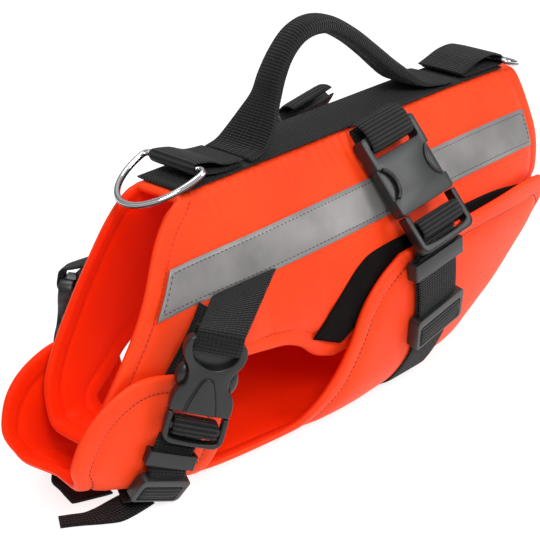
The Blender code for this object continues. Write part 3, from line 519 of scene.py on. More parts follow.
# A darker copy of the buckle plastic for parts that face away from the light or sit in gaps: painted shade.
PLASTIC_SHADED = plain_material("plastic_black_painted_shade", (0.006, 0.006, 0.0065), 0.35, grain=0.00003)
CHROME = chrome_material()
HOOK = plain_material("hook_pile", (0.006, 0.0045, 0.0045), 0.95, grain=0.0006, grain_scale=1400.0, level=0.1)
THREAD_DARK = plain_material("thread_dark", (0.045, 0.018, 0.014), 0.8)
THREAD_RED = plain_material("thread_red", (0.45, 0.018, 0.003), 0.7)
THREAD_BLACK = plain_material("thread_black", (0.010, 0.010, 0.010), 0.75)


# ---- mesh helpers ----------------------------------------------------------------------------------------
def piece(name, points, faces, material, slot, body="vest", uv=None, smooth=True):
    """A mesh object from millimetre points, riding on a body."""
    mesh = bpy.data.meshes.new(name)
    places = (np.asarray(points, float) - (GIRTH_X, 0, 0)) * MM
    mesh.from_pydata(places.tolist(), [], [tuple(int(i) for i in f) for f in faces])
    if uv is not None:
        layer = mesh.uv_layers.new(name="UVMap")
        corner = np.zeros(len(mesh.loops), np.int32)
        mesh.loops.foreach_get("vertex_index", corner)
        layer.data.foreach_set("uv", np.asarray(uv, float)[corner].ravel())
    work = bmesh.new()
    work.from_mesh(mesh)
    bmesh.ops.recalc_face_normals(work, faces=work.faces)
    work.to_mesh(mesh)
    work.free()
    mesh.polygons.foreach_set("use_smooth", [smooth] * len(mesh.polygons))
    mesh.materials.append(material)
    obj = bpy.data.objects.new(name, mesh)
    bpy.context.scene.collection.objects.link(obj)
    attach(obj, body)
    return obj


def join_meshes(parts):
    """Points, faces and UVs of several (points, faces, uv) put together."""
    points, faces, uvs, base = [], [], [], 0
    for p, f, u in parts:
        points.append(np.asarray(p, float))
        faces += [tuple(i + base for i in face) for face in f]
        uvs.append(np.asarray(u, float) if u is not None else np.zeros((len(p), 2)))
        base += len(p)
    return np.concatenate(points), faces, np.concatenate(uvs)


def strip_mesh(centres, across, normals, half, thickness, columns=9, crown=0.0):
    """A closed tape: each row is a rounded flat ring round its centre; UV is metres across and along."""
    centres, across, normals = (np.asarray(v, float) for v in (centres, across, normals))
    across = across / np.linalg.norm(across, axis=1)[:, None]
    normals = normals / np.linalg.norm(normals, axis=1)[:, None]
    half = np.broadcast_to(np.asarray(half, float), len(centres))
    along = np.concatenate([[0], np.cumsum(np.linalg.norm(np.diff(centres, axis=0), axis=1))])
    share = np.sin(np.linspace(-1, 1, columns) * math.pi / 2)
    body = thickness / 2 * np.sqrt(np.maximum(0, 1 - np.abs(share) ** 10)) * 0.999
    ring = [(s, b + crown * (1 - s * s)) for s, b in zip(share, body)]
    ring += [(s, -b + crown * (1 - s * s)) for s, b in list(zip(share, body))[-2:0:-1]]
    wide = len(ring)
    points, uv = [], []
    for c, a, n, h, v in zip(centres, across, normals, half, along):
        for s, b in ring:
            points.append(c + a * s * h + n * b)
            uv.append((s * h * MM, v * MM))
    faces = []
    for i in range(len(centres) - 1):
        for k in range(wide):
            a, b = i * wide + k, i * wide + (k + 1) % wide
            faces.append((a, b, b + wide, a + wide))
    last = (len(centres) - 1) * wide
    faces.append(tuple(range(wide)))
    faces.append(tuple(last + k for k in range(wide)))
    return np.array(points), faces, np.array(uv)


def strap_mesh(table, width, step=1.6, thickness=WEBBING, columns=9):
    """Webbing along rows of (x, y, z, across x, across y, across z, share of the width)."""
    rows = np.array(through([tuple(r) if len(r) == 7 else (*r, 1.0) for r in table], step))
    centres, across = rows[:, :3], rows[:, 3:6]
    along = np.gradient(centres, axis=0)
    normals = np.cross(along, across)
    half = rows[:, 6] * width / 2
    across = across / np.linalg.norm(across, axis=1)[:, None]
    lowest = centres[:, 2] - np.abs(across[:, 2]) * half
    centres[:, 2] += np.maximum(0, thickness / 2 - lowest)
    return strip_mesh(centres, across, normals, half, thickness, columns)


def strap_rows(table, step):
    return np.array(through([tuple(r) if len(r) == 7 else (*r, 1.0) for r in table], step))


def stitch_mesh(places, along, normals, length=1.7, width=0.55, height=0.3):
    """Short raised threads lying on a surface."""
    ring = [(math.cos(a), math.sin(a)) for a in np.linspace(0, 2 * math.pi, 7)[:-1]]
    points, faces = [], []
    for p, t, n in zip(places, along, normals):
        t = t / (np.linalg.norm(t) + 1e-9)
        n = n / (np.linalg.norm(n) + 1e-9)
        side = np.cross(n, t)
        base = len(points)
        for share, size in ((-0.5, 0.35), (-0.22, 1.0), (0.22, 1.0), (0.5, 0.35)):
            for c, s in ring:
                points.append(p + t * length * share + side * c * width / 2 * size + n * s * height * size)
        for row in range(3):
            for k in range(6):
                a, b = base + row * 6 + k, base + row * 6 + (k + 1) % 6
                faces.append((a, b, b + 6, a + 6))
        faces.append(tuple(base + k for k in range(6)))
        faces.append(tuple(base + 18 + k for k in range(6)))
    return np.array(points), faces, None


def stitch_run(form, path, pitch, out, length=1.7, width=0.55):
    """Stitches along a pattern path (x, signed arc) on a form."""
    path = np.array(path, float)
    run = np.concatenate([[0], np.cumsum(np.linalg.norm(np.diff(path, axis=0), axis=1))])
    at = np.arange(pitch / 2, run[-1], pitch)
    xs, ss = np.interp(at, run, path[:, 0]), np.interp(at, run, path[:, 1])
    outs = out(xs, ss) if callable(out) else out
    places = form.points(xs, ss, outs)
    ahead = form.points(np.interp(at + 0.5, run, path[:, 0]), np.interp(at + 0.5, run, path[:, 1]), outs)
    behind = form.points(np.interp(at - 0.5, run, path[:, 0]), np.interp(at - 0.5, run, path[:, 1]), outs)
    normals = form.points(xs, ss, np.asarray(outs) + 1.0) - places
    return stitch_mesh(places, ahead - behind, normals, length, width)


# ---- padded panels ---------------------------------------------------------------------------------------
HEM = 10.2
ROLL = 2.6               # half thickness of the rolled hem
BACK_PUFF, BELLY_PUFF = 3.75, 3.9


def smoothstep(low, high, value):
    t = np.clip((value - low) / (high - low), 0, 1)
    return t * t * (3 - 2 * t)


def padded_half(d, puff):
    """Half thickness of a panel at distance d from its edge: a rolled hem, its stitched groove, then foam."""
    edge = np.sqrt(np.maximum(0, 1 - (1 - np.minimum(d / 2.8, 1)) ** 2)) * ROLL
    groove = 1 - 0.42 * np.exp(-((d - HEM) / 1.25) ** 2)
    return (edge + smoothstep(HEM, HEM + 10, d) * (puff - ROLL)) * groove


def ripple(points, size, seed):
    """Slow unevenness of the cloth, from -1 to 1."""
    return np.array([noise.noise(Vector((p[0] / size + seed, p[1] / size, p[2] / size))) for p in points])


def two_faced(flat, faces, d, form, outer, inner):
    """Closed mesh of a pattern: the rim is shared, and the two faces stand at their own distances out."""
    rim = d < 0.02
    top = form.points(flat[:, 0], flat[:, 1], outer)
    low = form.points(flat[:, 0], flat[:, 1], inner)
    own = np.cumsum(~rim) - 1 + len(flat)
    index = np.where(rim, np.arange(len(flat)), own)
    points = np.concatenate([top, low[~rim]])
    back = [tuple(index[i] for i in f)[::-1] for f in faces]
    return points, [tuple(f) for f in faces] + back


ARCH_CREASES = (
    # station, width, height
    (20, 3.4, -1.2),
    (33, 4.0, 0.9),
    (45, 3.2, -1.1),
    (62, 4.5, 0.9),
    (86, 5.0, -0.9),
)


def back_relief(x, s, d, points):
    """Puckers beside the spine webbing, creases above the leg arch and the slow waves of the cloth."""
    beside = np.abs(s) - 20.0
    pull = np.where(beside > -1, np.exp(-np.maximum(beside, 0) / 9.0), 0) * (x > 3) * (x < 300)
    jitter = ripple(points, 19.0, 3.7)
    pucker = np.sin(x * 2 * math.pi / 7.5 + 4.0 * jitter + np.sign(s)) * pull * (1.35 + 0.9 * jitter)
    crease = sum(depth * np.exp(-((x - place - 0.12 * (np.abs(s) - 110)) / wide) ** 2)
                 for place, wide, depth in ARCH_CREASES)
    low = smoothstep(78, 100, np.abs(s)) * smoothstep(4, 14, d)
    return (pucker + crease * low + 0.75 * ripple(points, 46.0, 9.1)) * smoothstep(1, 12, d)


def belly_relief(x, s, d, points):
    cushion = -1.5 * np.exp(-((x + 66) / 2.6) ** 2) * (np.abs(s) < 26)
    return (cushion + 0.9 * ripple(points, 38.0, 5.3)) * smoothstep(1, 12, d)


def padded_panel(name, form, outline, puff, relief, node):
    flat, faces, d = fill_pattern(outline)
    x, s = flat[:, 0], flat[:, 1]
    half = padded_half(d, puff)
    lift = relief(x, s, d, form.points(x, s))
    outer, inner = -FOAM / 2 + half + lift, -FOAM / 2 - half + 0.5 * lift
    points, all_faces = two_faced(flat, faces, d, form, outer, inner)
    obj = piece(name, points, all_faces, SHELL, "padded_cloth")
    # The inner faces take the darker copy of the cloth: painted shade inside the jacket.
    obj.data.materials.append(SHELL_INNER_PAINTED_SHADE)
    for face in obj.data.polygons:
        face.material_index = int(face.index >= len(faces))
    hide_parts(node)
    return obj


def offset_paths(outline, distance, first=0.0, last=1.0):
    """Runs of the line at a distance inside an outline, between two shares of its length."""
    a = np.array(outline)
    run = np.roll(a, -1, axis=0) - np.roll(a, 1, axis=0)
    run /= np.linalg.norm(run, axis=1)[:, None] + 1e-9
    normal = np.stack([-run[:, 1], run[:, 0]], axis=1)
    if not inside(a[5:6] + normal[5:6] * 2.0, outline)[0]:
        normal = -normal
    line = a + normal * distance
    good = inside(line, outline) & (edge_distance(line, outline) > distance * 0.93)
    paths, path = [], []
    for i in range(int(first * len(a)), int(last * len(a))):
        if good[i] and (not path or math.dist(path[-1], line[i]) < 9):
            path.append(tuple(line[i]))
        elif path:
            if len(path) > 3:
                paths.append(path)
            path = []
    if len(path) > 3:
        paths.append(path)
    return paths


def hem_stitches(name, form, outline, puff, material, pitch=3.1, first=0.0, last=1.0):
    outs = -FOAM / 2 + float(padded_half(np.array([HEM]), puff)[0]) + 0.12
    meshes = [stitch_run(form, path, pitch, outs) for path in offset_paths(outline, HEM, first, last)]
    points, faces, _ = join_meshes(meshes)
    return piece(name, points, faces, material, "padded_cloth")


back_outline, belly_outline = back_pattern(), belly_pattern()
padded_panel("back_shell", BACK, back_outline, BACK_PUFF, back_relief, "back_panel")
padded_panel("belly_shell", BELLY, belly_outline, BELLY_PUFF, belly_relief, "belly_panel")
hem_stitches("back_hem_stitches", BACK, back_outline, BACK_PUFF, THREAD_RED)
hem_stitches("belly_hem_stitches", BELLY, belly_outline, BELLY_PUFF, THREAD_DARK)


# ---- tape and patches ------------------------------------------------------------------------------------
TAPE_DROP_FRONT, TAPE_DROP_REAR, TAPE_END, NECK_BAND = 33.0, 27.0, 311.0, 11.0
TAPE_LIFT = 1.0
PATCH_EDGE = ((74, 66), (94, 89), (111, 103), (130, 108), (170, 109), (215, 108), (255, 105), (290, 98))
PATCH_FOOT = ((290, 91), (230, 84), (170, 80), (135, 78), (112, 66), (98, 55))


def neck_edge_x(z):
    heights = [row[1] for row in NECK_EDGE][::-1]
    return float(np.interp(z, heights, [row[0] for row in NECK_EDGE][::-1]))


def tape_place(share, across):
    """Pattern point of the tape at a share of its length and of its width, on the left side."""
    drop = TAPE_DROP_FRONT + (TAPE_DROP_REAR - TAPE_DROP_FRONT) * share
    arc = 19 + drop + NARROW * across
    start = neck_edge_x(float(BACK.flat(-20, arc)[1])) + NECK_BAND
    return start + (TAPE_END - start) * share, -arc


def skin_mesh(form, rows, low, high):
    """A closed skin over a grid of pattern points."""
    grid = np.array(rows, float)
    deep, wide = grid.shape[:2]
    xs, ss = grid[..., 0].ravel(), grid[..., 1].ravel()
    top = form.points(xs, ss, high)
    bottom = form.points(xs, ss, low)
    faces = []
    for i in range(deep - 1):
        for j in range(wide - 1):
            a, b, c, d = i * wide + j, i * wide + j + 1, (i + 1) * wide + j + 1, (i + 1) * wide + j
            faces += [(a, b, c, d), tuple(k + deep * wide for k in (d, c, b, a))]
    rim = list(range(wide)) + [i * wide + wide - 1 for i in range(1, deep)]
    rim += [(deep - 1) * wide + j for j in range(wide - 2, -1, -1)]
    rim += [i * wide for i in range(deep - 2, 0, -1)]
    for a, b in zip(rim, rim[1:] + rim[:1]):
        faces.append((a, b, b + deep * wide, a + deep * wide))
    return np.concatenate([top, bottom]), faces, np.tile(np.stack([xs, ss], axis=1) * MM, (2, 1))


def mirror_mesh(mesh):
    points, faces, uv = mesh
    return points * (1, -1, 1), [f[::-1] for f in faces], uv


def both_sides(name, mesh, material, slot, node=None, body="vest"):
    """The left piece and its mirrored twin."""
    made = []
    for side, m in (("left", mesh), ("right", mirror_mesh(mesh))):
        obj = piece(f"{name}_{side}", *m[:2], material, slot, body, m[2])
        if node:
            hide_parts(f"{node}_{side}")
        made.append(obj)
    return made


tape_rows = [[tape_place(a, b) for b in np.linspace(0, 1, 9)] for a in np.linspace(0, 1, 130)]
tape_skin = skin_mesh(BACK, tape_rows, 0.55, TAPE_LIFT + 0.55)
for obj in both_sides("tape", tape_skin, TAPE_GREY, "reflective_tape", "reflective_strip"):
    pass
tape_edges = [[tape_place(a, b) for a in np.linspace(0.008, 0.992, 120)] for b in (0.105, 0.895)]
tape_edges += [[tape_place(e, b) for b in np.linspace(0.12, 0.88, 12)] for e in (0.0075, 0.9925)]
tape_runs = [stitch_run(BACK, p, 3.0, TAPE_LIFT + 0.62, 1.6, 0.5) for p in tape_edges]
both_sides("tape_stitches", join_meshes(tape_runs), THREAD_BLACK, "reflective_tape")

patch_outline = [(x, -s) for x, s in on_pattern(BACK, PATCH_EDGE) + on_pattern(BACK, PATCH_FOOT)]
patch_flat, patch_faces, patch_d = fill_pattern(patch_outline)
patch_top = 0.85 + 1.3 * np.minimum(patch_d / 0.6, 1)
patch_foot = np.full(len(patch_d), 0.8)
patch_points, patch_faces = two_faced(patch_flat, patch_faces, patch_d, BACK, patch_top, patch_foot)
for obj in both_sides("patch", (patch_points, patch_faces, None), HOOK, "hook_patch", "hook_patch"):
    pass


# ---- spine, loops and rings ------------------------------------------------------------------------------
SPINE_LIFT = 1.35
FRONT_BAR, FRONT_CROWN = (15.0, 181.4), (-23.0, 167.8)
REAR_BAR, REAR_CROWN = (301.0, 175.6), (331.0, 165.5)
LOOP_RADIUS = RING_WIRE + 0.5 + WEBBING / 2
FRONT_LOOP_LOW = ((50, 173.6), (36, 173.7), (26, 175.4))
FRONT_LOOP_HIGH = ((26, 182.2), (38, 177.5), (52, 175.9))
REAR_LOOP_LOW = ((262, 173.5), (278, 173.2), (292, 172.9))
REAR_LOOP_HIGH = ((291, 181.6), (278, 181.0), (266, 177.9), (258, 175.9))

spine_rows = [(*BACK.point(x, 0, SPINE_LIFT), 0, 1, 0) for x in np.linspace(3, 303, 150)]


def loop_path(low, bar, turn, high):
    around = [(bar[0] + turn * LOOP_RADIUS * math.cos(a), bar[1] + LOOP_RADIUS * math.sin(a))
              for a in np.linspace(-1.3, 1.3, 9)]
    return list(low) + around + list(high)


def strap_piece(name, table, width, node, material=None, step=1.6):
    points, faces, uv = strap_mesh(table, width, step)
    obj = piece(name, points, faces, material or WEB, "webbing", uv=uv)
    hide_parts(node)
    return obj


strap_piece("spine", spine_rows, 37.0, "spine_webbing", step=2.2)


def rib_runs(obj, runs):
    """Gives the stretches of a strap (start, end in millimetres along it) the opened ribs of a sharp bend,
    with their painted light.
    """
    obj.data.materials.append(RIBBED_PAINTED_LIGHT)
    uv = obj.data.uv_layers["UVMap"].data
    for face in obj.data.polygons:
        v = sum(uv[k].uv[1] for k in face.loop_indices) / face.loop_total / MM
        face.material_index = int(any(low < v < high for low, high in runs))


front_loop = loop_path(FRONT_LOOP_LOW, FRONT_BAR, -1, FRONT_LOOP_HIGH)
rear_loop = loop_path(REAR_LOOP_LOW, REAR_BAR, 1, REAR_LOOP_HIGH)
for name, path, width, run in (("front", front_loop, 35.0, 0.083), ("rear", rear_loop, 36.0, 0.091)):
    rows = [(x, 0.0, z, 0, 1, 0) for x, z in path]
    loop = strap_piece(f"ring_webbing_{name}", rows, width, f"ring_loop_{name}",
                       step=1.2)
    rib_runs(loop, ((20, run / MM - 16),))


def ring_piece(name, bar, crown, node, body):
    """A D-ring of round wire: a straight bar and a half-round bow."""
    half, reach = RING_SPAN / 2, math.dist(bar, crown)
    corner = 3.5
    outline = [(0, y) for y in np.linspace(half - corner, corner - half, 12)]
    for k in range(6):
        angle = math.pi / 2 * k / 6
        outline.append((corner - corner * math.cos(angle), corner - half - corner * math.sin(angle)))
    for k in range(49):
        angle = math.pi * k / 48
        outline.append((corner + (reach - corner) * math.sin(angle), -half * math.cos(angle)))
    for k in range(5, -1, -1):
        angle = math.pi / 2 * k / 6
        outline.append((corner - corner * math.cos(angle), half - corner + corner * math.sin(angle)))
    lean = np.array([crown[0] - bar[0], crown[1] - bar[1]]) / reach
    line = np.array([(bar[0] + lean[0] * far, y, bar[1] + lean[1] * far) for far, y in outline])
    flat_normal = np.array([-lean[1], 0, lean[0]])
    points, faces, sides = [], [], 16
    count = len(line)
    for i in range(count):
        along = line[(i + 1) % count] - line[i - 1]
        side = np.cross(along, flat_normal)
        side /= np.linalg.norm(side) + 1e-9
        for k in range(sides):
            a = 2 * math.pi * k / sides
            points.append(line[i] + RING_WIRE * (side * math.cos(a) + flat_normal * math.sin(a)))
    for i in range(count):
        for k in range(sides):
            a, b = i * sides + k, i * sides + (k + 1) % sides
            faces.append((a, b, (b + sides) % (count * sides), (a + sides) % (count * sides)))
    obj = piece(name, points, faces, CHROME, "chrome", body)
    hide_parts(node)
    return obj


ring_piece("ring_front_wire", FRONT_BAR, FRONT_CROWN, "d_ring_front", "ring_front")
ring_piece("ring_rear_wire", REAR_BAR, REAR_CROWN, "d_ring_rear", "ring_rear")


# ---- grab handle -----------------------------------------------------------------------------------------
HANDLE = (
    # x      z    width  thickness
    (57,  174.1,  36.0,  2.6),
    (66,  175.8,  36.0,  3.0),
    (74,  181.6,  33.5,  4.2),
    (82,  190.0,  28.0,  7.0),
    (89,  200.0,  20.5, 10.5),
    (94,  211.0,  17.5, 12.5),
    (102, 222.5,  16.0, 11.8),
    (113, 231.0,  16.0, 11.8),
    (127, 234.0,  16.0, 12.0),
    (143, 231.0,  16.0, 11.0),
    (162, 220.5,  16.0, 10.6),
    (180, 207.5,  17.0, 10.6),
    (196, 195.0,  20.0, 10.6),
    (209, 185.6,  26.0,  9.5),
    (222, 177.9,  32.0,  4.4),
    (237, 175.0,  36.0,  2.8),
    (249, 174.1,  36.0,  2.6),
)
HANDLE_SIDES = 40


def handle_mesh():
    """Wide webbing, flat where it is sewn down and folded to a tube over the hand gap, with a seam below."""
    rows = np.array(through([(x, z, w, t) for x, z, w, t in HANDLE], 1.6))
    centres = np.array([(x, 0.0, z) for x, z in rows[:, :2]])
    run = np.concatenate([[0], np.cumsum(np.linalg.norm(np.diff(centres, axis=0), axis=1))])
    along = np.gradient(rows[:, :2], axis=0)
    along /= np.linalg.norm(along, axis=1)[:, None]
    points, uv, faces = [], [], []
    for (x, z, width, thickness), (ax, az), v in zip(rows, along, run):
        round_it = smoothstep(3.5, 11.0, thickness)
        for k in range(HANDLE_SIDES):
            angle = 2 * math.pi * (k + 0.5) / HANDLE_SIDES
            power = 4.5 - 1.9 * round_it
            square = (abs(math.cos(angle)) ** power + abs(math.sin(angle)) ** power) ** (-1 / power)
            side, lift = square * math.cos(angle) * width / 2, square * math.sin(angle) * thickness / 2
            fold = round_it * 0.9 * math.exp(-((angle - 1.5 * math.pi) / 0.16) ** 2)
            lift += fold
            points.append((x - az * lift, side, z + ax * lift))
            uv.append((math.sin(angle / 2) * 0.038 - 0.019, v * MM))
    for i in range(len(rows) - 1):
        for k in range(HANDLE_SIDES):
            a, b = i * HANDLE_SIDES + k, i * HANDLE_SIDES + (k + 1) % HANDLE_SIDES
            faces.append((a, b, b + HANDLE_SIDES, a + HANDLE_SIDES))
    last = len(points) - HANDLE_SIDES
    faces += [tuple(range(HANDLE_SIDES)), tuple(range(last, len(points)))]
    return points, faces, uv


handle_points, handle_faces, handle_uv = handle_mesh()
handle = piece("handle_webbing", handle_points, handle_faces, WEB, "webbing", uv=handle_uv)
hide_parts("handle")


# ---- seats and moulded plates ----------------------------------------------------------------------------
class Seat:
    """A flat place on the jacket: an origin, the direction across and the direction down its length."""

    def __init__(self, origin, across, down):
        self.origin = np.array(origin, float)
        self.down = np.array(down, float) / np.linalg.norm(down)
        across = np.array(across, float)
        across -= self.down * across.dot(self.down)
        self.across = across / np.linalg.norm(across)
        self.out = np.cross(self.down, self.across)

    def point(self, u, v, n=0.0):
        return self.origin + self.across * u + self.down * v + self.out * n

    def mirrored(self):
        flip = np.array([1, -1, 1])
        seat = Seat(self.origin * flip, self.across * flip, self.down * flip)
        seat.across, seat.down, seat.out = self.across * flip, self.down * flip, self.out * flip
        return seat


def plate_mesh(outline, holes, back, front, bevel, segments=3):
    """A flat outline with holes, in seat millimetres, made solid from back to front with soft edges."""
    curve = bpy.data.curves.new("draft", "CURVE")
    curve.dimensions = "2D"
    curve.fill_mode = "BOTH"
    curve.extrude = (front - back) / 2
    for loop in [outline] + list(holes):
        spline = curve.splines.new("POLY")
        spline.points.add(len(loop) - 1)
        for point, (u, v) in zip(spline.points, loop):
            point.co = (u, v, 0, 1)
        spline.use_cyclic_u = True
    draft = bpy.data.objects.new("draft", curve)
    bpy.context.scene.collection.objects.link(draft)
    bpy.context.view_layer.update()
    data = bpy.data.meshes.new_from_object(draft.evaluated_get(bpy.context.evaluated_depsgraph_get()))
    bpy.data.objects.remove(draft)
    work = bmesh.new()
    work.from_mesh(data)
    bmesh.ops.remove_doubles(work, verts=work.verts, dist=1e-3)
    bmesh.ops.dissolve_limit(work, angle_limit=0.01, verts=work.verts, edges=work.edges)
    sharp = [e for e in work.edges if len(e.link_faces) == 2 and e.calc_face_angle(0) > 0.9]
    bmesh.ops.bevel(work, geom=sharp, offset=bevel, segments=segments, profile=0.5, affect="EDGES",
                    clamp_overlap=True)
    bmesh.ops.triangulate(work, faces=[f for f in work.faces if len(f.verts) > 4])
    points = np.array([tuple(v.co) for v in work.verts]) + (0, 0, (front + back) / 2)
    faces = [tuple(v.index for v in f.verts) for f in work.faces]
    work.free()
    bpy.data.meshes.remove(data)
    return points, faces, None


def on_seat(mesh, seat):
    points, faces, uv = mesh
    placed = seat.origin + points[:, :1] * seat.across + points[:, 1:2] * seat.down + points[:, 2:] * seat.out
    return placed, faces, uv


def rounded_box(half_width, top, bottom, radius, corner=6):
    """Outline of a rectangle with round corners, from v = top to v = bottom."""
    points = []
    for centre_u, centre_v, start in ((half_width - radius, top + radius, -90),
                                      (half_width - radius, bottom - radius, 0),
                                      (radius - half_width, bottom - radius, 90),
                                      (radius - half_width, top + radius, 180)):
        for k in range(corner + 1):
            angle = math.radians(start + 90 * k / corner)
            points.append((centre_u + radius * math.cos(angle), centre_v + radius * math.sin(angle)))
    return points


def tube_mesh(line, radius, up=(0, 0, 1), sides=10):
    """A round bead along a line."""
    line = np.array(line, float)
    along = np.gradient(line, axis=0)
    points, faces = [], []
    for p, t in zip(line, along):
        t = t / np.linalg.norm(t)
        side = np.cross(t, up)
        side /= np.linalg.norm(side) + 1e-9
        top = np.cross(side, t)
        for k in range(sides):
            a = 2 * math.pi * k / sides
            points.append(p + radius * (side * math.cos(a) + top * math.sin(a)))
    for i in range(len(line) - 1):
        for k in range(sides):
            a, b = i * sides + k, i * sides + (k + 1) % sides
            faces.append((a, b, b + sides, a + sides))
    faces += [tuple(range(sides)), tuple(range(len(points) - sides, len(points)))]
    return np.array(points), faces, None


def dome_mesh(u, v, n, half_u, half_v, rise, tilt=0.0, rows=8, sides=28):
    """A low oval button."""
    points, faces = [], []
    for i in range(rows):
        a = math.pi / 2 * i / rows
        for k in range(sides):
            b = 2 * math.pi * k / sides
            du, dv = half_u * math.cos(a) * math.cos(b), half_v * math.cos(a) * math.sin(b)
            points.append((u + du * math.cos(tilt) - dv * math.sin(tilt),
                           v + du * math.sin(tilt) + dv * math.cos(tilt),
                           n + rise * math.sin(a)))
    points.append((u, v, n + rise))
    for i in range(rows - 1):
        for k in range(sides):
            a, b = i * sides + k, i * sides + (k + 1) % sides
            faces.append((a, b, b + sides, a + sides))
    for k in range(sides):
        faces.append(((rows - 1) * sides + k, (rows - 1) * sides + (k + 1) % sides, rows * sides))
    faces.append(tuple(range(sides)))
    return np.array(points), faces, None


def notch_arc(edge, middle, radius, deep, count=17):
    """Points of a side notch on the u > 0 side, from its top to its bottom."""
    angles = [math.pi * k / (count - 1) for k in range(count)]
    return [(edge - deep * math.sin(a), middle - radius * math.cos(a)) for a in angles]


def symmetric(right):
    """A closed outline from its right half, given from the top down."""
    return list(right) + [(-u, v) for u, v in list(right)[::-1]]


GIRTH_SEAT = Seat((158.2, -34.5, 171.7), (0.99, -0.04, 0.12), (0.09, -0.60, -0.795))
CHEST_SEAT = Seat((-16.2, -62.2, 104.1), (0.74, -0.60, -0.30), (-0.28, 0.10, -0.95))
WIDE_BUCKLE = {"half": 24.0, "joint": 52.0, "end": 78.0, "thick": 9.0,
               "bar": (61.0, 66.5), "window": (55.5, 73.5)}
SLIM_BUCKLE = {"half": 17.5, "joint": 44.0, "end": 63.0, "thick": 8.0,
               "bar": (51.0, 54.5), "window": (46.0, 60.0)}


def wide_socket():
    """Girth buckle, upper half: a flat face with a webbing slot and a beaded notch and arm each side."""
    half, joint = WIDE_BUCKLE["half"], WIDE_BUCKLE["joint"] - 0.3
    arc = notch_arc(half, 31.0, 10.5, 8.6)
    right = rounded_box(half, 0.0, joint, 2.6)
    right = [p for p in right if p[0] > 0]
    right = [p for p in right if p[1] < 20] + arc + [p for p in right if p[1] > 42]
    body = plate_mesh(symmetric(right), [rounded_box(19.6, 5.6, 14.0, 2.0)], -9.0, 0.0, 0.9)
    arm = rounded_box_at(19.4, 19.5, 43.0, 4.2)
    arms = [plate_mesh([(s * u, v) for u, v in arm], [], -7.6, -1.6, 0.9) for s in (1, -1)]
    beads = [tube_mesh([(s * (u - 0.4), v, 0.05) for u, v in arc[2:-2]], 1.25) for s in (1, -1)]
    return [body] + arms, beads


def rounded_box_at(middle, top, bottom, half, radius=1.6):
    return [(u + middle, v) for u, v in rounded_box(half, top, bottom, radius)]


def plug_body(size, lip, slot_half):
    """The lower half: two rails and a round foot, open to the joint, with a bar across for the webbing."""
    half, top, foot = size["half"] - 0.3, size["joint"] + 0.3, size["window"][1]
    outer = [p for p in rounded_box(half, top, size["end"], lip) if p[1] > top + lip]
    right = [p for p in outer if p[0] > 0]
    foot_bow = [(slot_half * math.cos(a), foot - 1.4 + 2.0 * math.sin(a)) for a in np.linspace(0, math.pi, 9)]
    outline = [(half, top)] + right + [(-u, v) for u, v in right[::-1]] + [(-half, top), (-slot_half, top)]
    outline += foot_bow[::-1] + [(slot_half, top)]
    bar = rounded_box(slot_half + 1.0, size["bar"][0], size["bar"][1], 0.8)
    return [plate_mesh(outline, [], -size["thick"] + 1.4, 0.0, 0.9), plate_mesh(bar, [], -6.4, -1.0, 0.6)]


# (out from the middle, down) along one side of the chest socket, and of its tongue
SLIM_SIDE = ((7, 0.6), (12.5, 0.2), (15.6, 1.6), (17.3, 5.0), (17.2, 9.5), (15.6, 14.0), (13.2, 17.2),
             (11.9, 20.5), (11.7, 24.5), (12.6, 28.4), (15.2, 30.6), (16.6, 33.6), (17.2, 38.0), (17.0, 43.7))
SLIM_TONGUE = ((0.6, 22.4), (2.6, 24.0), (4.3, 28.0), (5.9, 33.0), (7.3, 38.0), (8.2, 43.6))


def slim_socket():
    """Chest buckle, upper half: horns round the webbing, thumb buttons and a raised tongue."""
    right = [tuple(p) for p in through(SLIM_SIDE, 1.4)]
    mouth_right = [(4.5, 16.6), (10.0, 13.2), (12.9, 8.0), (12.6, 4.6)]
    mouth_line = [(-u, v) for u, v in mouth_right[::-1]] + [(0, 17.3)] + mouth_right
    mouth = [tuple(p) for p in through(mouth_line, 1.6)]
    body = plate_mesh(symmetric(right), [mouth], -8.0, 0.0, 0.9)
    floor = plate_mesh(rounded_box(13.4, 8.5, 19.0, 2.0), [], -7.6, -5.2, 0.4)
    tongue_right = [tuple(p) for p in through(SLIM_TONGUE, 1.6)]
    tongue = plate_mesh(symmetric(tongue_right), [], -1.0, 0.85, 0.7)
    # A thin tube just outside the tongue's edge, later given the darker plastic: it stands for the shade in
    # the gap round the tongue, painted shade.
    groove = [(u * 1.11, v - 0.5, 0.0) for u, v in tongue_right]
    line = [(-u, v, n) for u, v, n in groove[::-1]] + groove
    lines = [tube_mesh(line, 0.5)]
    buttons = [dome_mesh(s * 13.4, 24.2, -7.4, 4.3, 7.4, 4.4) for s in (1, -1)]
    return [body, floor, tongue] + buttons, lines


def tri_glide(half, length, low, high, window):
    """A slider: a smooth band, a window over the webbing and a rounded foot."""
    outline = rounded_box(half, 0.0, length, 3.4)
    hole = rounded_box(half - 3.2, window[0] * length, window[1] * length, 1.6)
    return plate_mesh(outline, [hole], low, high, 0.9)


def glide_roll(half, length, low, high, window):
    """The webbing that bulges up through a slider's window."""
    top, bottom = window[0] * length, window[1] * length
    bulge = ((top - 2.4, low), (top - 0.2, high - 0.9), (top + 1.6, high + 0.5),
             ((top + bottom) / 2, high + 1.0), (bottom - 1.6, high + 0.4), (bottom + 0.2, high - 1.0), (bottom + 2.4, low))
    rows = strap_rows([(0, v, n, 1, 0, 0) for v, n in bulge], 0.9)
    along = np.gradient(rows[:, :3], axis=0)
    return strip_mesh(rows[:, :3], rows[:, 3:6], np.cross(along, rows[:, 3:6]), half - 3.5, 1.5, 9)


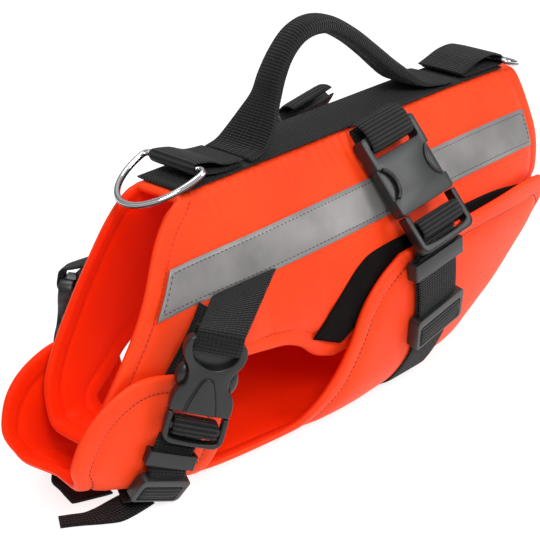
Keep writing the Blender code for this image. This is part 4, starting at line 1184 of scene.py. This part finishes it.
def band_mesh(half, length, low, high, wall):
    """A keeper: a flat loop of moulded band round the webbing, made as its own seat's plate with a slot."""
    outline = [(u, -n) for u, n in rounded_box(half, low, high, 0.9)]
    hole = [(u, -n) for u, n in rounded_box(half - wall, low + wall, high - wall, 0.4)]
    return plate_mesh(outline, [hole], 0.0, length, 0.35, 2)


def end_on(seat):
    """A seat looked at from its top end, so that a plate on it becomes a sleeve along the strap."""
    turned = Seat(seat.origin, seat.across, -seat.out)
    turned.down, turned.out = -seat.out, seat.down
    return turned


def moulded(name, meshes, seat, node, material, slot="buckle_plastic"):
    """The parts of one moulding on the left seat and on its mirror image."""
    made = []
    for side, place in (("left", seat), ("right", seat.mirrored())):
        points, faces, uv = join_meshes([on_seat(m, place) for m in meshes])
        obj = piece(f"{name}_{side}", points, faces, material, slot, uv=uv)
        mark_sharp(obj)
        if node:
            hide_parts(f"{node}_{side}")
        made.append(obj)
    return made


def mark_sharp(obj, angle=math.radians(38)):
    """Keeps flat faces flat and bevels smooth in the shading."""
    obj.data.set_sharp_from_angle(angle=angle)


socket_parts, socket_beads = wide_socket()
moulded("girth_socket", socket_parts, GIRTH_SEAT, "girth_buckle_socket", PLASTIC)
# The girth socket's notch beads and the girth plug use the darker copy of the plastic: painted shade.
moulded("girth_socket_bead", socket_beads, GIRTH_SEAT, None, PLASTIC_SHADED)
moulded("girth_plug", plug_body(WIDE_BUCKLE, 5.0, 19.8), GIRTH_SEAT, "girth_buckle_plug", PLASTIC_SHADED)
slim_parts, slim_groove_shade = slim_socket()
moulded("chest_socket", slim_parts, CHEST_SEAT, "chest_buckle_socket", PLASTIC)
# The dark line round the tongue is painted shade in its gap.
moulded("chest_socket_groove_shade", slim_groove_shade, CHEST_SEAT, None, PLASTIC_SHADED)
moulded("chest_plug", plug_body(SLIM_BUCKLE, 6.5, 14.0), CHEST_SEAT, "chest_buckle_plug", PLASTIC)


# ---- straps ----------------------------------------------------------------------------------------------
GIRTH_LIFT_FLOOR, GIRTH_LIFT_HIP, GIRTH_LIFT_SIDE = 1.55, 2.3, 3.0
GIRTH_LEAN = 0.18
GIRTH_TURN = ((163.7, 38), (162.3, 32), (161, 24), (160.3, 16), (160, 8))
LAYER = WEBBING + 0.7
KEEPER_TOP, KEEPER_LONG = 99.5, 11.0
SLIDER_TOP, SLIDER_LONG = 62.0, 23.0
CHEST_KEEPER_LONG, CHEST_SLIDER_LONG = 8.5, 18.0
CHEST_KEEPER_SEAT = Seat((-37.2, -45.4, 38.4), (0.85, -0.37, -0.375), (-0.32, 0.20, -0.925))
CHEST_SLIDER_SEAT = Seat((-40.8, -43.6, 23.4), (0.91, -0.17, -0.37), (-0.22, 0.50, -0.84))
CHEST_TURN = (-29.7, -44.5, 44.8, 0.80, -0.52, -0.32)
CHEST_LINE = (
    (-44.5, -26.5, 4.6, 0.97, -0.10, -0.10),
    (-40.0, -19.0, 3.9, 1.0, -0.06, 0.0),
    (-35.0, -10.0, 4.4, 1.0, -0.03, 0.0),
    (-30.5, -3.5, 1.9, 1.0, 0.0, 0.0),
    (-30.0, 0.0, 0.9, 1.0, 0.0, 0.0),
)
LEFT_TAIL = (
    (-43.5, -23.5, 1.9, 0.22, -0.97, 0.0, 0.86),
    (-50.0, -22.6, 1.0, 0.12, -0.99, 0.0, 0.88),
    (-57.5, -22.5, 0.9, 0.0, -1.0, 0.0, 0.88),
    (-64.0, -22.0, 0.9, -0.10, -0.99, 0.0, 0.84),
    (-70.5, -19.3, 0.9, -0.25, -0.97, 0.0, 0.66),
    (-76.5, -15.8, 0.9, -0.50, -0.86, 0.0, 0.50),
    (-82.5, -11.4, 0.9, -0.57, -0.82, 0.0, 0.47),
    (-88.5, -7.4, 0.9, -0.57, -0.82, 0.0, 0.46),
)
RIGHT_TAIL = (
    (-47.5, 36.4, 5.6, 0.86, 0.40, -0.22, 1.0),
    (-51.0, 31.0, 2.0, 0.94, 0.20, -0.04, 1.0),
    (-53.0, 24.0, 0.9, 1.0, -0.05, 0.0, 1.0),
    (-55.0, 14.0, 0.9, 0.96, -0.25, 0.0, 1.0),
    (-57.5, 6.0, 0.9, 0.93, -0.36, 0.0, 1.0),
    (-60.0, -3.0, 0.9, 0.92, -0.38, 0.0, 1.0),
)


def strap_ends(obj, long):
    """Opened ribs, with painted highlight and shade, on both ends of a strap, where it wraps a bar."""
    total = max(item.uv[1] for item in obj.data.uv_layers["UVMap"].data) / MM
    rib_runs(obj, ((-1, long), (total - long, total + 1)))


def girth_x(z):
    """Station of the girth strap's middle at height z: it leans to the rear on its way down the side."""
    return float(np.interp(z, (8, 20, 36, 62, 98, 108), (167.0, 172.0, 175.0, 170.0, 163.5, 167.5)))


def girth_row(z, layer=0):
    """The girth strap's centre and across direction where it passes height z on the left side."""
    x = girth_x(z)
    arc = BELLY.arc_at(x, z)
    lift = float(np.interp(z, (8, 14, 36), (GIRTH_LIFT_HIP, GIRTH_LIFT_HIP, GIRTH_LIFT_SIDE))) + layer * LAYER
    return (*BELLY.point(x, -arc, lift), 1.0, 0.0, float(np.interp(z, (12, 36), (0, GIRTH_LEAN))))


def along_seat(seat, profile):
    return [(*seat.point(0, v, n), *seat.across) for v, n in profile]


def plug_wrap(size, back):
    """The webbing's way over a plug's bar as (length, out)."""
    bar_top, bar_bottom = size["bar"]
    return ((size["window"][1] - 2, back), (bar_bottom, back), (bar_top - 0.6, back),
            (bar_top - 1.9, back + 1.2), (bar_top - 2.1, -0.8), (bar_top - 0.6, 1.3),
            (bar_bottom + 0.6, 1.3), (bar_bottom + 2.2, -0.9),
            (bar_bottom + 2.4, back * 0.42))


def girth_seat(z):
    """The seat of a fitting on the girth strap whose top is at height z; out is measured from the belly."""
    top = BELLY.point(girth_x(z), -BELLY.arc_at(girth_x(z), z))
    bottom = BELLY.point(girth_x(z - 14), -BELLY.arc_at(girth_x(z - 14), z - 14))
    return Seat(top, (1, 0, GIRTH_LEAN), bottom - top)


def opposite(rows):
    return [(x, -y, z, ax, -ay, az) for x, y, z, ax, ay, az in rows]


GIRTH_RIBS, CHEST_RIBS = 40.0, 36.0        # length of opened ribs at each end of the lower straps
UPPER_RIBS = ((9, 60),)

# (down the buckle, out from its face) of the webbing folded round the socket's bar
girth_fold = ((-8.4, -10.0), (-4, -10.4), (5, -10.4), (9.2, -9.4), (10.3, -5.5), (9.4, -0.6), (6, 1.15),
              (0, 1.25), (-4.5, 0.5), (-8.5, -2.6), (-10.4, -6.6))
girth_upper = strap_mesh(along_seat(GIRTH_SEAT, girth_fold), WIDE, 1.2)
for obj in both_sides("girth_upper", girth_upper, WEB, "webbing", "girth_strap_upper"):
    rib_runs(obj, UPPER_RIBS)

girth_left = along_seat(GIRTH_SEAT, plug_wrap(WIDE_BUCKLE, -11.4))[::-1]
girth_left += [girth_row(z) for z in (102, 96, 88, 76, 64, 52, 42, 33, 25, 18, 12, 8)]
girth_left += [(*BELLY.point(x, -s, GIRTH_LIFT_FLOOR), 1.0, 0.0, 0.0) for x, s in GIRTH_TURN]
girth_middle = [(GIRTH_X, 0.0, float(BELLY.flat(GIRTH_X, 0)[1]) - GIRTH_LIFT_FLOOR, 1.0, 0.0, 0.0)]
girth_under = strap_piece("girth_under", girth_left + girth_middle + opposite(girth_left)[::-1], WIDE,
                          "girth_strap_lower")
strap_ends(girth_under, GIRTH_RIBS)
girth_return = [girth_row(z, 1) for z in (102, 96, 88, 76, 64, 52, 44)]
for obj in both_sides("girth_return", strap_mesh(girth_return, WIDE), WEB, "webbing", "girth_strap_return"):
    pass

FITTING_HALF_WIDE = WIDE / 2 + 4.4
SLIDER_HALF_NARROW = NARROW / 2 + 4.0
inner = (GIRTH_LIFT_SIDE - WEBBING / 2 - 0.6, GIRTH_LIFT_SIDE + LAYER + WEBBING / 2 + 1.2)
moulded("girth_keeper_band", [band_mesh(FITTING_HALF_WIDE, KEEPER_LONG, inner[0] - 1.2, inner[1] + 0.6, 2.2)],
        end_on(girth_seat(KEEPER_TOP)), "girth_keeper", PLASTIC)
GLIDE_WINDOW = (0.27, 0.92)
girth_glide_seat = girth_seat(SLIDER_TOP)
moulded("girth_glide", [tri_glide(FITTING_HALF_WIDE, SLIDER_LONG, inner[0], inner[1] + 1.6, GLIDE_WINDOW)],
        girth_glide_seat, "girth_slider", PLASTIC)


def under_tape(share):
    """Point of the left side on the tape's lower edge, at a share of the tape's length."""
    return BACK.point(*tape_place(share, 0.97), 2.0)


def chest_rise(low, head_left, head_right):
    """Rows of the chest webbing as it fans out from the buckle (row low) up to the tape."""
    turn = np.array(low[3:6]) / np.linalg.norm(low[3:6])
    reach = NARROW * CHEST_SPREAD / 2
    left = np.array(low[:3]) - turn * reach
    right = np.array(low[:3]) + turn * reach
    rows = []
    for share in (0.2, 0.4, 0.6, 0.8, 1.0):
        a = left + (head_left - left) * share
        b = right + (head_right - right) * share
        rows.append((*((a + b) / 2), *((b - a) / np.linalg.norm(b - a)), np.linalg.norm(b - a) / NARROW))
    return rows


CHEST_SPREAD = 1.06        # width of the fold over the width of the webbing
CHEST_HEAD = (0.105, 0.235)        # shares of the tape's length between which the webbing ends
chest_fold = ((-4, -9.0), (0, -9.6), (4.5, -9.6), (7.6, -8.4), (8.0, -4.6), (7.2, -0.6), (4.5, 1.15),
              (0, 1.2), (-4, 0.2))
chest_rows = [(*row, CHEST_SPREAD) for row in along_seat(CHEST_SEAT, chest_fold)]
chest_rows += chest_rise(chest_rows[-1], *(under_tape(share) for share in CHEST_HEAD))
chest_upper = strap_mesh(chest_rows, NARROW, 1.2)
for obj in both_sides("chest_upper", chest_upper, WEB, "webbing", "chest_strap_upper"):
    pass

chest_left = along_seat(CHEST_SEAT, plug_wrap(SLIM_BUCKLE, -10.2))[::-1] + [CHEST_TURN]
chest_left += along_seat(CHEST_KEEPER_SEAT, [(v, 0) for v in (-1, 2, CHEST_KEEPER_LONG)])
chest_left += along_seat(CHEST_SLIDER_SEAT, [(v, 0) for v in (-1, 7, CHEST_SLIDER_LONG)]) + list(CHEST_LINE)
chest_under = strap_piece("chest_under", chest_left + opposite(chest_left[:-1])[::-1], NARROW,
                          "chest_strap_lower")
strap_ends(chest_under, CHEST_RIBS)
strap_piece("tail_left", LEFT_TAIL, NARROW, "strap_tail_left")
strap_piece("tail_right", RIGHT_TAIL, NARROW, "strap_tail_right")
keeper_low, keeper_high = -WEBBING / 2 - 2.3, WEBBING / 2 + 2.8
moulded("chest_keeper_band", [band_mesh(NARROW / 2 + 2.5, CHEST_KEEPER_LONG, keeper_low, keeper_high, 1.2)],
        end_on(CHEST_KEEPER_SEAT), "chest_keeper", PLASTIC)
chest_glide = tri_glide(SLIDER_HALF_NARROW, CHEST_SLIDER_LONG, keeper_low, keeper_high, GLIDE_WINDOW)
moulded("chest_glide", [chest_glide], CHEST_SLIDER_SEAT, "chest_slider", PLASTIC)
girth_roll = glide_roll(FITTING_HALF_WIDE, SLIDER_LONG, inner[0], inner[1] + 0.6, GLIDE_WINDOW)
both_sides("girth_glide_roll", on_seat(girth_roll, girth_glide_seat), RIBBED_PAINTED_LIGHT, "webbing")
chest_roll = glide_roll(SLIDER_HALF_NARROW, CHEST_SLIDER_LONG, keeper_low, keeper_high - 1.0, GLIDE_WINDOW)
both_sides("chest_glide_roll", on_seat(chest_roll, CHEST_SLIDER_SEAT), RIBBED_PAINTED_LIGHT, "webbing")

arm_rows = []
for x, z in through(((5.2, 106), (0, 98), (-8.5, 86), (-17, 74.5), (-26, 62)), 2.0):
    front, middle, rear = (BACK.point(x + share * 8.5, -BACK.arc_at(x + share * 8.5, z - share * 7.0), 1.85)
                           for share in (-1, 0, 1))
    arm_rows.append((*middle, *(rear - front)))
for obj in both_sides("arm_tape", strap_mesh(arm_rows, 22.0), WEB, "webbing", "arm_webbing"):
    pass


# ---- stage, light and camera -----------------------------------------------------------------------------
def stage():
    mesh = bpy.data.meshes.new("floor")
    mesh.from_pydata([(-6, -6, 0), (6, -6, 0), (6, 6, 0), (-6, 6, 0)], [], [(0, 1, 2, 3)])
    floor = bpy.data.objects.new("floor", mesh)
    bpy.context.scene.collection.objects.link(floor)
    sheet = plain_material("floor_white", (0.34, 0.34, 0.34), 0.95, level=0.0)
    glow = sheet.node_tree.nodes["Principled BSDF"].inputs
    glow["Emission Color"].default_value = (1, 1, 1, 1)
    glow["Emission Strength"].default_value = 0.80
    mesh.materials.append(sheet)


def soft_box(name, place, target, size, power, colour=(1, 1, 1)):
    light = bpy.data.lights.new(name, "AREA")
    light.shape = "SQUARE"
    light.size = size
    light.energy = power
    light.color = colour
    obj = bpy.data.objects.new(name, light)
    obj.location = place
    obj.rotation_euler = (Vector(target) - Vector(place)).to_track_quat("-Z", "Y").to_euler()
    bpy.context.scene.collection.objects.link(obj)


stage()
sky = bpy.data.worlds.new("studio")
sky.use_nodes = True
tree = sky.node_tree
aim = tree.nodes.new("ShaderNodeTexCoord")
split = tree.nodes.new("ShaderNodeSeparateXYZ")
shade = tree.nodes.new("ShaderNodeValToRGB")
tree.links.new(aim.outputs["Generated"], split.inputs[0])
tree.links.new(split.outputs[2], shade.inputs["Fac"])
tree.links.new(shade.outputs["Color"], tree.nodes["Background"].inputs["Color"])
shade.color_ramp.elements[0].color = (0.10, 0.10, 0.105, 1)
shade.color_ramp.elements[1].position = 0.75
shade.color_ramp.elements[1].color = (0.95, 0.95, 0.95, 1)
tree.nodes["Background"].inputs["Strength"].default_value = 0.62
bpy.context.scene.world = sky
soft_box("key", (-0.9, -1.3, 1.5), (0, 0, 0.1), 0.7, 19.0)
soft_box("top", (0.2, 0.1, 1.8), (0, 0, 0.1), 0.8, 13.0)
soft_box("side", (0.80, -1.25, 1.0), (0, -0.05, 0.12), 0.6, 7.5)
bpy.context.scene.view_settings.view_transform = "Standard"

lens = bpy.data.cameras.new("camera")
lens.lens = 1600 / 540 * 36
lens.sensor_width = 36
view = bpy.data.objects.new("camera", lens)
view.location = (-0.7195, -0.5872, 0.4979)
view.rotation_euler = (math.radians(65), 0, math.radians(-48))
bpy.context.scene.collection.objects.link(view)
bpy.context.scene.camera = view
